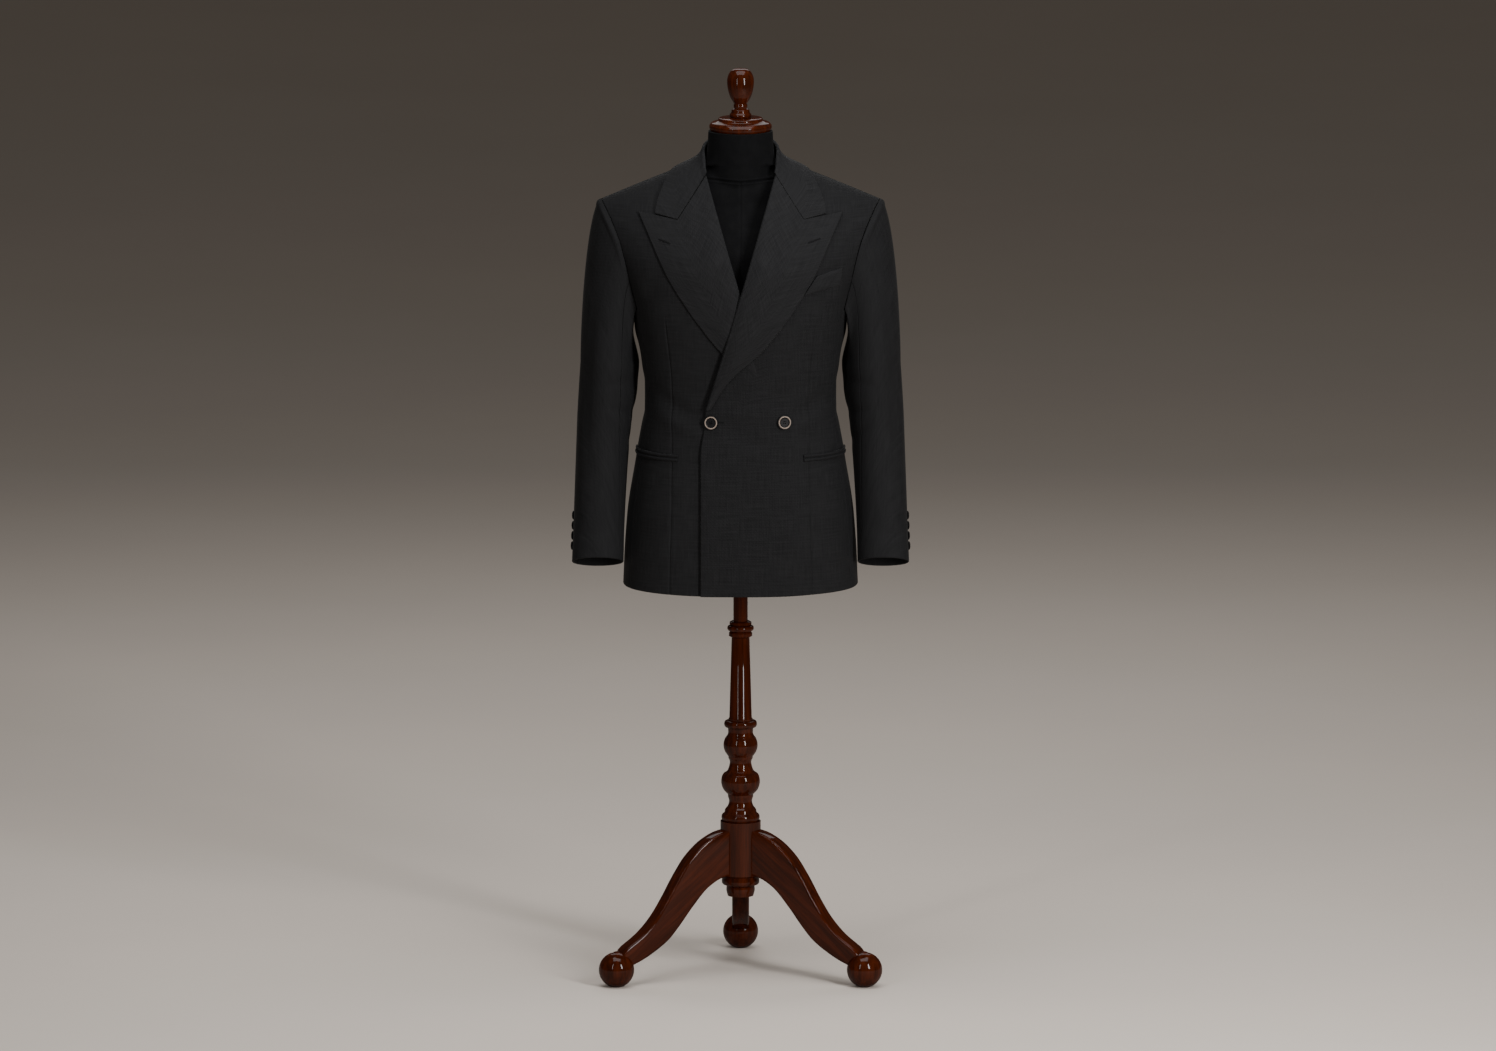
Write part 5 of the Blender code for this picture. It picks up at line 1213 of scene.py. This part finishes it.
def worsted_wool(name, dark, light, slub_angle=0.0):
    """Worsted wool twill, woven and pressed: almost black, matt, with a soft pale bloom at grazing light
    and faint uneven yarns."""
    material = new_material(name)
    uv = add_node(material, "ShaderNodeUVMap", {"uv_map": "cloth"}).outputs["UV"]
    turned = add_node(material, "ShaderNodeMapping", inputs={"Vector": uv, "Rotation": (0, 0, slub_angle)})
    # yarns are 0.4 mm thick: too fine to show, so the uneven ones are drawn 2 mm wide and 40 mm long
    warp = stretched_noise(material, turned.outputs["Vector"], (480.0, 24.0, 1.0), 3.0)
    weft = stretched_noise(material, turned.outputs["Vector"], (20.0, 420.0, 1.0), 2.0)
    yarns = add_node(material, "ShaderNodeMath", {"operation": "ADD"}, {0: warp, 1: weft})
    half = add_node(material, "ShaderNodeMath", {"operation": "MULTIPLY"}, {0: yarns.outputs[0], 1: 0.5})
    colour = add_node(material, "ShaderNodeValToRGB", inputs={"Fac": half.outputs[0]},
                      stops=((0.34, dark), (0.66, light)))
    # the twill line is 0.8 mm; it is drawn at 1.6 mm and only as relief
    twill = add_node(material, "ShaderNodeTexWave", {"wave_type": "BANDS", "bands_direction": "DIAGONAL"}, {
        "Vector": uv, "Scale": 95.0, "Distortion": 0.6, "Detail": 1.0,
    })
    relief = add_node(material, "ShaderNodeMath", {"operation": "MULTIPLY_ADD"}, {
        0: half.outputs[0], 1: 1.2, 2: twill.outputs["Fac"],
    })
    bump = add_node(material, "ShaderNodeBump", inputs={
        "Height": relief.outputs[0], "Strength": 0.22, "Distance": 0.0004,
    })
    rough = add_node(material, "ShaderNodeMapRange", inputs={
        "Value": half.outputs[0], "To Min": 0.78, "To Max": 0.92,
    })
    shader = add_node(material, "ShaderNodeBsdfPrincipled", inputs={
        "Base Color": colour.outputs["Color"], "Roughness": rough.outputs["Result"],
        "Normal": bump.outputs["Normal"],
        "Sheen Weight": 0.03, "Sheen Roughness": 0.3, "Sheen Tint": linear("#c9c6c2"),
        "Specular IOR Level": 0.12,
    })
    return finish_material(material, shader)


def knitted_jersey(name, dark, light):
    """Cotton jersey drawn over the form: black, quite matt, with fine ribs that only catch side light."""
    material = new_material(name)
    place = add_node(material, "ShaderNodeTexCoord").outputs["Object"]
    cloud = stretched_noise(material, place, (60.0, 60.0, 60.0), 4.0)
    # wales are 0.7 mm apart; they are drawn at 1.4 mm
    wales = stretched_noise(material, place, (700.0, 700.0, 60.0), 2.0)
    colour = add_node(material, "ShaderNodeValToRGB", inputs={"Fac": cloud},
                      stops=((0.3, dark), (0.7, light)))
    bump = add_node(material, "ShaderNodeBump", inputs={
        "Height": wales, "Strength": 0.25, "Distance": 0.0003,
    })
    shader = add_node(material, "ShaderNodeBsdfPrincipled", inputs={
        "Base Color": colour.outputs["Color"], "Roughness": 0.88, "Normal": bump.outputs["Normal"],
        "Sheen Weight": 0.01, "Sheen Roughness": 0.4, "Specular IOR Level": 0.08,
    })
    return finish_material(material, shader)


def polished_mahogany(name, dark, middle, light):
    """Mahogany, turned, stained and French polished: deep red-brown grain under a clear gloss."""
    material = new_material(name)
    grain = add_node(material, "ShaderNodeAttribute", {"attribute_name": "grain"}).outputs["Vector"]
    # growth bands about 9 mm wide, pores 1 mm wide and 30 mm long
    bands = stretched_noise(material, grain, (110.0, 110.0, 5.0), 5.0)
    pores = stretched_noise(material, grain, (900.0, 900.0, 26.0), 3.0)
    mixed = add_node(material, "ShaderNodeMath", {"operation": "MULTIPLY_ADD"}, {0: pores, 1: 0.35, 2: bands})
    colour = add_node(material, "ShaderNodeValToRGB", inputs={"Fac": mixed.outputs[0]},
                      stops=((0.46, dark), (0.64, middle), (0.86, light)))
    rough = add_node(material, "ShaderNodeMapRange", inputs={"Value": pores, "To Min": 0.22, "To Max": 0.36})
    bump = add_node(material, "ShaderNodeBump", inputs={
        "Height": pores, "Strength": 0.08, "Distance": 0.0004,
    })
    shader = add_node(material, "ShaderNodeBsdfPrincipled", inputs={
        "Base Color": colour.outputs["Color"], "Roughness": rough.outputs["Result"],
        "Normal": bump.outputs["Normal"],
        "Specular IOR Level": 0.0, "Coat Weight": 0.3, "Coat Roughness": 0.05, "Coat IOR": 1.5,
    })
    return finish_material(material, shader)


def turned_horn(name, dark, light, roughness):
    """Buffalo horn, turned and buffed: smooth gloss with faint cloudy streaks."""
    material = new_material(name)
    place = add_node(material, "ShaderNodeTexCoord").outputs["Object"]
    streaks = stretched_noise(material, place, (220.0, 500.0, 900.0), 4.0)
    colour = add_node(material, "ShaderNodeValToRGB", inputs={"Fac": streaks},
                      stops=((0.35, dark), (0.7, light)))
    shader = add_node(material, "ShaderNodeBsdfPrincipled", inputs={
        "Base Color": colour.outputs["Color"], "Roughness": roughness, "Specular IOR Level": 0.14,
    })
    return finish_material(material, shader)


def silk_thread(name, colour):
    """Buttonhole twist: a tight black silk thread, duller than the wool's pressed face."""
    material = new_material(name)
    place = add_node(material, "ShaderNodeTexCoord").outputs["Object"]
    ply = stretched_noise(material, place, (900.0, 900.0, 900.0), 2.0)
    stops = ((0.3, linear("#020203")), (0.7, colour))
    twist = add_node(material, "ShaderNodeValToRGB", inputs={"Fac": ply}, stops=stops)
    shader = add_node(material, "ShaderNodeBsdfPrincipled", inputs={
        "Base Color": twist.outputs["Color"], "Roughness": 0.75, "Specular IOR Level": 0.15,
    })
    return finish_material(material, shader)


def studio_paper(name, colour):
    """Pale seamless paper: matt, with a hardly visible mottle."""
    material = new_material(name)
    place = add_node(material, "ShaderNodeTexCoord").outputs["Object"]
    mottle = stretched_noise(material, place, (1.2, 1.2, 1.2), 4.0)
    stops = ((0.2, shade(colour, 0.95)), (0.8, colour))
    paper = add_node(material, "ShaderNodeValToRGB", inputs={"Fac": mottle}, stops=stops)
    shader = add_node(material, "ShaderNodeBsdfPrincipled", inputs={
        "Base Color": paper.outputs["Color"], "Roughness": 0.9,
    })
    return finish_material(material, shader)


# ---- settings ----------------------------------------------------------------------------------------
CAMERA_AIM, LIT_POINT = (0.013, AXIS_Y, 0.795), (0.0, AXIS_Y, 1.0)
SENSOR_WIDTH = 36.0  # mm
FLOOR_SIZE = 120.0
SOFTBOXES = (
    # name, place, width, height, share of the power
    ("softbox_left", (-1.55, -2.8, 1.75), 0.18, 1.9, 0.3),
    ("softbox_right", (1.75, -2.7, 1.75), 0.40, 1.9, 1.5),
    ("softbox_over", (0.0, -0.6, 4.2), 3.0, 2.4, 1.6),
    ("softbox_back", (0.0, 3.4, 3.2), 3.0, 1.6, 0.5),
)


def colour_setting(name, description, default):
    """A colour that a user may change, with its default as sRGB hex."""
    return bpy.props.FloatVectorProperty(
        name=name, description=description, default=linear(default), subtype="COLOR", size=4,
        min=0.0, max=1.0)


class JacketFinish(bpy.types.PropertyGroup):
    """Colours of the jacket, its form and its stand."""

    wool_dark: colour_setting("Wool, dark yarn", "Darkest yarns of the suiting", "#0f0f10")
    wool_light: colour_setting("Wool, light yarn", "Lightest yarns of the suiting", "#1b1b1c")
    jersey: colour_setting("Jersey", "Cover of the dress form", "#0c0c0d")
    mahogany: colour_setting("Mahogany", "Lightest tone of the stand's timber", "#401808")
    button_ring: colour_setting("Button ring", "Pale ring of the front buttons", "#8d8074")


class StudioSettings(bpy.types.PropertyGroup):
    """Camera and light."""

    distance: bpy.props.FloatProperty(
        name="Camera distance", description="From the post to the camera", default=40.0, unit="LENGTH")
    frame_width: bpy.props.FloatProperty(
        name="Frame width", description="Width of the picture at the post", default=2.611, unit="LENGTH")
    pitch: bpy.props.FloatProperty(
        name="Pitch", description="How far the camera looks down", default=math.radians(9.5),
        subtype="ANGLE")
    box_power: bpy.props.FloatProperty(
        name="Softbox power", description="Power of each tall softbox", default=76.0, unit="POWER")
    ambient: bpy.props.FloatProperty(
        name="Ambient", description="Strength of the pale surroundings", default=0.10, min=0.0, max=5.0)


def materials():
    """The scene's materials, made once."""
    if "worsted_wool" not in bpy.data.materials:
        look = bpy.context.scene.jacket_finish
        dark, light, mahogany = tuple(look.wool_dark), tuple(look.wool_light), tuple(look.mahogany)
        worsted_wool("worsted_wool", dark, light)
        # painted light: a lighter copy of the same suiting for the lapels, collar and breast welt, for the
        # light these faces catch
        worsted_wool("worsted_wool_lapel", shade(dark, 1.15), shade(light, 1.25), 0.12)
        knitted_jersey("cotton_jersey", linear("#070708"), tuple(look.jersey))
        polished_mahogany("polished_mahogany", linear("#210b04"), shade(mahogany, 0.55), mahogany)
        turned_horn("black_horn", linear("#050506"), linear("#0e0d0e"), 0.5)
        turned_horn("pale_horn", linear("#6e6259"), tuple(look.button_ring), 0.42)
        silk_thread("silk_twist", linear("#0a0a0b"))
        studio_paper("seamless_paper", linear("#c8beb4"))
    return bpy.data.materials


# ---- operators ---------------------------------------------------------------------------------------
class JACKET_OT_lapels(bpy.types.Operator):
    """Make both lapels and the collar"""

    bl_idname = "jacket.lapels"
    bl_label = "Lapels and collar"

    def execute(self, context):
        # painted light: the lapels and collar take the lighter copy of the suiting
        wool = materials()["worsted_wool_lapel"]
        for name, side in SIDES.items():
            grid = mirror_points(lapel_grid(side), side)
            facing = AHEAD * (np.arange(grid.shape[1]) < LAPEL_FACE_COLUMNS)[:, None]
            lapel = sewn_cloth(f"lapel_{name}", grid, LAPEL_CLOTH, facing, wool)
            declare_sheet(lapel)
        grid = collar_grid()
        facing = grid * LEVEL * (np.arange(grid.shape[1]) >= COLLAR_FALL_COLUMN)[:, None]
        collar = sewn_cloth("collar", grid, COLLAR_CLOTH, facing, wool)
        declare_sheet(collar)
        return {"FINISHED"}


class JACKET_OT_panels(bpy.types.Operator):
    """Make the fronts, side bodies and backs, with the pockets that are sewn to them"""

    bl_idname = "jacket.panels"
    bl_label = "Body panels and pockets"

    def execute(self, context):
        wool = materials()["worsted_wool"]
        for name, side in SIDES.items():
            outer, inner = (mirror_points(grid, side) for grid in jet_grids(side))
            sewn = [sewn_cloth(f"pocket_jets_{name}", outer, WELT_CLOTH, outer * LEVEL, wool, inner=inner)]
            if side > 0:
                # painted light: the breast welt takes the lighter copy of the suiting
                lit_facing_wool = materials()["worsted_wool_lapel"]
                sewn.append(sewn_cloth("breast_welt", welt_grid(), WELT_CLOTH, AHEAD, lit_facing_wool))
            grid = mirror_points(front_grid(side), side)
            front = sewn_cloth(f"front_{name}", grid, CLOTH, AHEAD, wool, plumb=True)
            declare_sheet(front)
            grid = mirror_points(side_grid(), side)
            panel = sewn_cloth(f"side_{name}", grid, CLOTH, grid * LEVEL, wool)
            declare_sheet(panel)
            grid = mirror_points(back_grid(side), side)
            back = sewn_cloth(f"back_{name}", grid, CLOTH, -AHEAD, wool, plumb=True, middle_seam=True)
            declare_sheet(back)
        return {"FINISHED"}


class JACKET_OT_sleeves(bpy.types.Operator):
    """Make the top and under sleeve of each arm"""

    bl_idname = "jacket.sleeves"
    bl_label = "Sleeves"

    def execute(self, context):
        wool = materials()["worsted_wool"]
        spans = {
            "top_sleeve": (HIND_SEAM, FOREARM_SEAM + ARM_COLUMNS),
            "under_sleeve": (FOREARM_SEAM, HIND_SEAM),
        }
        for name, side in SIDES.items():
            for part, (first, last) in spans.items():
                grid = draw_in(sleeve_grid(first, last), 0.5 * GAP)
                middle = grid.mean(axis=1, keepdims=True)
                middle[..., 0] = ARM_X
                away = grid - middle if part == "under_sleeve" else grid * LEFT_RIGHT
                grid, away = mirror_points(grid, side), mirror_points(away, side)
                sleeve = sewn_cloth(f"{part}_{name}", grid, SLEEVE_CLOTH, away, wool)
                width = float(run_length(grid[HEAD_ROWS:], 1)[:, -1].max())
                declare_sheet(sleeve, width=width)
        return {"FINISHED"}


class JACKET_OT_buttons(bpy.types.Operator):
    """Turn the front and cuff buttons"""

    bl_idname = "jacket.buttons"
    bl_label = "Buttons"

    def execute(self, context):
        for name, x in BUTTON_X.items():
            point, normal = on_front(np.array(x), np.array(BUTTON_Z), 1, 3 * GAP)
            self.button(f"front_button_{name}", BUTTON_RADIUS, point, normal, 1.0, ring=True)
        for name, side in SIDES.items():
            for count in range(CUFF_BUTTONS):
                point, normal = cuff_button_frame(CUFF_BUTTON_Z + CUFF_BUTTON_PITCH * count)
                point, normal = mirror_points(point + normal * GAP, side), mirror_points(normal, side)
                self.button(f"cuff_button_{name}_{count + 1}", CUFF_BUTTON_RADIUS, point, normal, 0.8)
        return {"FINISHED"}

    def button(self, node, radius, point, normal, thickness, ring=False):
        """A button with its holes bored through, pale round its rim if it has a ring."""
        profile = [(share * radius, height * thickness) for share, height in BUTTON_PROFILE]
        piece = turned_piece(turning(profile), 40)
        for count in range(BUTTON_HOLES):
            bpy.ops.object.select_all(action="DESELECT")
            turn = math.tau * (count + 0.5) / BUTTON_HOLES
            place = HOLE_RING * radius * Vector((math.cos(turn), math.sin(turn), 0))
            bpy.ops.mesh.primitive_cylinder_add(
                vertices=12, radius=HOLE_RADIUS * radius, depth=0.02, location=place)
            cutter = bpy.context.object
            bpy.context.view_layer.objects.active = piece
            hole = piece.modifiers.new("hole", "BOOLEAN")
            hole.object, hole.solver = cutter, "EXACT"
            bpy.ops.object.modifier_apply(modifier="hole")
            bpy.data.objects.remove(cutter, do_unlink=True)
        horn = [materials()[name] for name in ("black_horn", "pale_horn")]
        finish_piece(piece, f"{node}_horn", horn, [node])
        for face in piece.data.polygons:
            out = math.hypot(*face.center[:2]) / radius
            pale = PALE_RING[0] < out < PALE_RING[1] and face.center.z > PALE_RING_Z
            face.material_index = int(ring and pale)
        aim = Vector((0, 0, 1)).rotation_difference(Vector(normal)).to_matrix().to_4x4()
        place_mesh(piece, Matrix.Translation(Vector(point) + Vector((0, AXIS_Y, 0))) @ aim)


class JACKET_OT_stitching(bpy.types.Operator):
    """Work the buttonholes on the lapels and beside the closed button"""

    bl_idname = "jacket.stitching"
    bl_label = "Buttonholes"

    def execute(self, context):
        along = np.linspace(-0.5, 0.5, 24)[None, :]
        across = np.linspace(-1, 1, 9)[:, None]
        lip = np.sqrt(np.clip(1 - ((np.abs(across) - 0.5) / 0.5) ** 2, 0, 1))
        taper = np.sqrt(np.clip(1 - (np.abs(along) / 0.5) ** 6, 0, 1)) * BUTTONHOLE_HALF
        for name, side, x0, z0, x1, z1, lift in BUTTONHOLES:
            way = np.array((x1 - x0, z1 - z0)) / math.hypot(x1 - x0, z1 - z0)
            x = (x0 + x1) / 2 + along * (x1 - x0) - across * taper * way[1]
            z = (z0 + z1) / 2 + along * (z1 - z0) + across * taper * way[0]
            outer, inner = (
                mirror_points(on_front(x, z, side, lift + rise)[0], side)
                for rise in (STITCH_RISE * lip, -STITCH_SINK * np.ones_like(x))
            )
            piece = cloth_piece(f"{name}_silk", outer, STITCH_RISE, AHEAD, inner=inner)
            finish_piece(piece, piece.name, materials()["silk_twist"])
        return {"FINISHED"}


class JACKET_OT_form(bpy.types.Operator):
    """Make the limbless dress form with its jersey cover"""

    bl_idname = "jacket.form"
    bl_label = "Dress form"

    def execute(self, context):
        grid = form_grid()
        rows, columns = grid.shape[:2]
        number = np.arange(rows * columns).reshape(rows, columns)
        beside = np.roll(number, -1, axis=1)
        walls = np.stack((number[:-1], beside[:-1], beside[1:], number[1:]), -1).reshape(-1, 4)
        caps = []
        verts = [grid.reshape(-1, 3)]
        for row, turn in ((0, -1), (-1, 1)):
            centre = rows * columns + len(caps)
            verts.append(grid[row].mean(axis=0)[None])
            fan = np.stack((number[row], beside[row], np.full(columns, centre)), -1)
            caps.append(fan[:, ::turn])
        piece = mesh_from("form_torso_jersey", np.concatenate(verts), [*walls, *caps[0], *caps[1]])
        piece.data.set_sharp_from_angle(angle=FORM_SMOOTH)
        finish_piece(piece, piece.name, materials()["cotton_jersey"], ["form_torso"])
        return {"FINISHED"}


class JACKET_OT_stand(bpy.types.Operator):
    """Turn the post, hub, cap, finial and rod, and shape the legs with their ball feet"""

    bl_idname = "jacket.stand"
    bl_label = "Tripod stand"

    def execute(self, context):
        wood = materials()["polished_mahogany"]
        to_axis = Matrix.Translation((0, AXIS_Y, 0))
        turned = {
            "column": (COLUMN_PROFILE, 72), "hub": (HUB_PROFILE, 72), "rod": (ROD_PROFILE, 48),
            "neck_cap": (CAP_PROFILE, 80), "finial": (FINIAL_PROFILE, 72),
        }
        for node, (profile, segments) in turned.items():
            piece = turned_piece(turning(profile), segments)
            set_grain(piece)
            place_mesh(piece, to_axis)
            finish_piece(piece, f"{node}_mahogany", wood, [node])
        for name, angle in LEG_ANGLES.items():
            spin = to_axis @ Matrix.Rotation(math.radians(angle), 4, "Z")
            leg = self.leg()
            set_grain(leg, LEG_GRAIN)
            place_mesh(leg, spin)
            finish_piece(leg, f"leg_{name}_mahogany", wood, [f"leg_{name}"])
            foot = turned_piece(turning(self.ball_profile()), 48)
            set_grain(foot)
            place_mesh(foot, spin @ Matrix.Translation((FOOT_REACH, 0, 0)))
            finish_piece(foot, f"foot_{name}_mahogany", wood, [f"foot_{name}"])
        return {"FINISHED"}

    def leg(self):
        """A leg along +X: a plank end extruded from station to station, with its long edges rounded."""
        top, bottom = curves(LEG_SECTIONS)
        stations = [(x, float(top(x)), float(bottom(x))) for x in np.linspace(LEG_START, LEG_END, 30)]
        stations += LEG_TENON
        x, high, low = stations[0]
        bpy.ops.object.select_all(action="DESELECT")
        bpy.ops.mesh.primitive_plane_add(
            size=1.0, location=(x, 0, (high + low) / 2), rotation=(0, math.pi / 2, 0))
        piece = bpy.context.object
        piece.scale = (high - low, LEG_THICK, 1.0)
        bpy.ops.object.transform_apply(location=True, rotation=True, scale=True)
        bpy.ops.object.mode_set(mode="EDIT")
        bpy.ops.mesh.select_all(action="SELECT")
        for (x0, high0, low0), (x1, high1, low1) in zip(stations, stations[1:]):
            rise = (high1 + low1 - high0 - low0) / 2
            bpy.ops.mesh.extrude_region_move(TRANSFORM_OT_translate={"value": (x1 - x0, 0, rise)})
            bpy.ops.transform.resize(value=(1, 1, (high1 - low1) / (high0 - low0)))
        bpy.ops.mesh.select_all(action="SELECT")
        bpy.ops.mesh.normals_make_consistent(inside=False)
        bpy.ops.mesh.select_mode(type="EDGE")
        bpy.ops.mesh.select_all(action="DESELECT")
        bpy.ops.object.mode_set(mode="OBJECT")
        places = [vert.co.copy() for vert in piece.data.vertices]
        for edge in piece.data.edges:
            start, end = (places[number] for number in edge.vertices)
            edge.select = abs(start.x - end.x) > 1e-4
        bpy.ops.object.mode_set(mode="EDIT")
        bpy.ops.mesh.bevel(offset=LEG_ROUND, segments=5, profile=0.5, affect="EDGES")
        bpy.ops.mesh.select_mode(type="VERT")
        bpy.ops.object.mode_set(mode="OBJECT")
        bpy.ops.object.shade_smooth_by_angle(angle=LEG_SMOOTH)
        return piece

    def ball_profile(self):
        """A ball foot round its own axis, cut flat where it stands and closed round the leg's end."""
        lift = math.sqrt(FOOT_RADIUS**2 - FOOT_FLAT**2)
        turns = np.radians(np.linspace(78, math.degrees(math.asin(-lift / FOOT_RADIUS)), 22))
        ball = [(FOOT_RADIUS * math.cos(t), lift + FOOT_RADIUS * math.sin(t)) for t in turns]
        return [(radius, ball[0][1] + height) for radius, height in FOOT_NECK] + ball


class JACKET_OT_studio(bpy.types.Operator):
    """Lay the pale floor, and set the camera and the soft lights"""

    bl_idname = "jacket.studio"
    bl_label = "Floor, camera and light"

    def execute(self, context):
        studio = context.scene.studio
        bpy.ops.object.select_all(action="DESELECT")
        bpy.ops.mesh.primitive_grid_add(
            x_subdivisions=8, y_subdivisions=8, size=FLOOR_SIZE, location=(0, 0, 0))
        floor = bpy.context.object
        floor.name = "paper_floor"
        floor.data.materials.append(materials()["seamless_paper"])
        floor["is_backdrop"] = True

        pitch, distance = studio.pitch, studio.distance
        camera = bpy.data.objects.new("camera", bpy.data.cameras.new("camera"))
        camera.data.sensor_width = SENSOR_WIDTH
        camera.data.lens = SENSOR_WIDTH * distance / studio.frame_width
        camera.data.clip_end = 400.0
        camera.location = Vector(CAMERA_AIM) + Vector((0, -math.cos(pitch), math.sin(pitch))) * distance
        camera.rotation_euler = (math.pi / 2 - pitch, 0, 0)
        context.scene.collection.objects.link(camera)
        context.scene.camera = camera

        for name, place, width, height, share in SOFTBOXES:
            light = bpy.data.lights.new(name, "AREA")
            light.shape, light.size, light.size_y = "RECTANGLE", width, height
            light.energy = studio.box_power * share
            lamp = bpy.data.objects.new(name, light)
            lamp.location = place
            gaze = Vector(LIT_POINT) - Vector(place)
            lamp.rotation_euler = gaze.to_track_quat("-Z", "Y").to_euler()
            context.scene.collection.objects.link(lamp)

        world = bpy.data.worlds.new("studio")
        world.use_nodes = True
        sky = world.node_tree.nodes["Background"]
        sky.inputs["Color"].default_value = linear("#efe6dc")
        sky.inputs["Strength"].default_value = studio.ambient
        context.scene.world = world
        return {"FINISHED"}


class JACKET_PT_panel(bpy.types.Panel):
    """The jacket's steps, in order"""

    bl_idname = "JACKET_PT_panel"
    bl_label = "Suit jacket"
    bl_space_type = "VIEW_3D"
    bl_region_type = "UI"
    bl_category = "Jacket"

    def draw(self, context):
        for group in (context.scene.jacket_finish, context.scene.studio):
            box = self.layout.box()
            for name in group.__annotations__:
                box.prop(group, name)
        for step in STEPS:
            self.layout.operator(step.bl_idname)


STEPS = (
    JACKET_OT_form, JACKET_OT_panels, JACKET_OT_lapels, JACKET_OT_sleeves,
    JACKET_OT_buttons, JACKET_OT_stitching, JACKET_OT_stand, JACKET_OT_studio,
)
CLASSES = (JacketFinish, StudioSettings, *STEPS, JACKET_PT_panel)


def register():
    for one in CLASSES:
        bpy.utils.register_class(one)
    bpy.types.Scene.jacket_finish = bpy.props.PointerProperty(type=JacketFinish)
    bpy.types.Scene.studio = bpy.props.PointerProperty(type=StudioSettings)


def unregister():
    del bpy.types.Scene.studio
    del bpy.types.Scene.jacket_finish
    for one in reversed(CLASSES):
        bpy.utils.unregister_class(one)


def main():
    register()
    bpy.ops.jacket.form()
    bpy.ops.jacket.panels()
    bpy.ops.jacket.lapels()
    bpy.ops.jacket.sleeves()
    bpy.ops.jacket.buttons()
    bpy.ops.jacket.stitching()
    bpy.ops.jacket.stand()
    bpy.ops.jacket.studio()
    boxes = {"cad": CAD_BOX, "dressed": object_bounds()}
    sizes = {name: [list(corner) for corner in box] for name, box in boxes.items()}


if __name__ == "__main__":
    main()
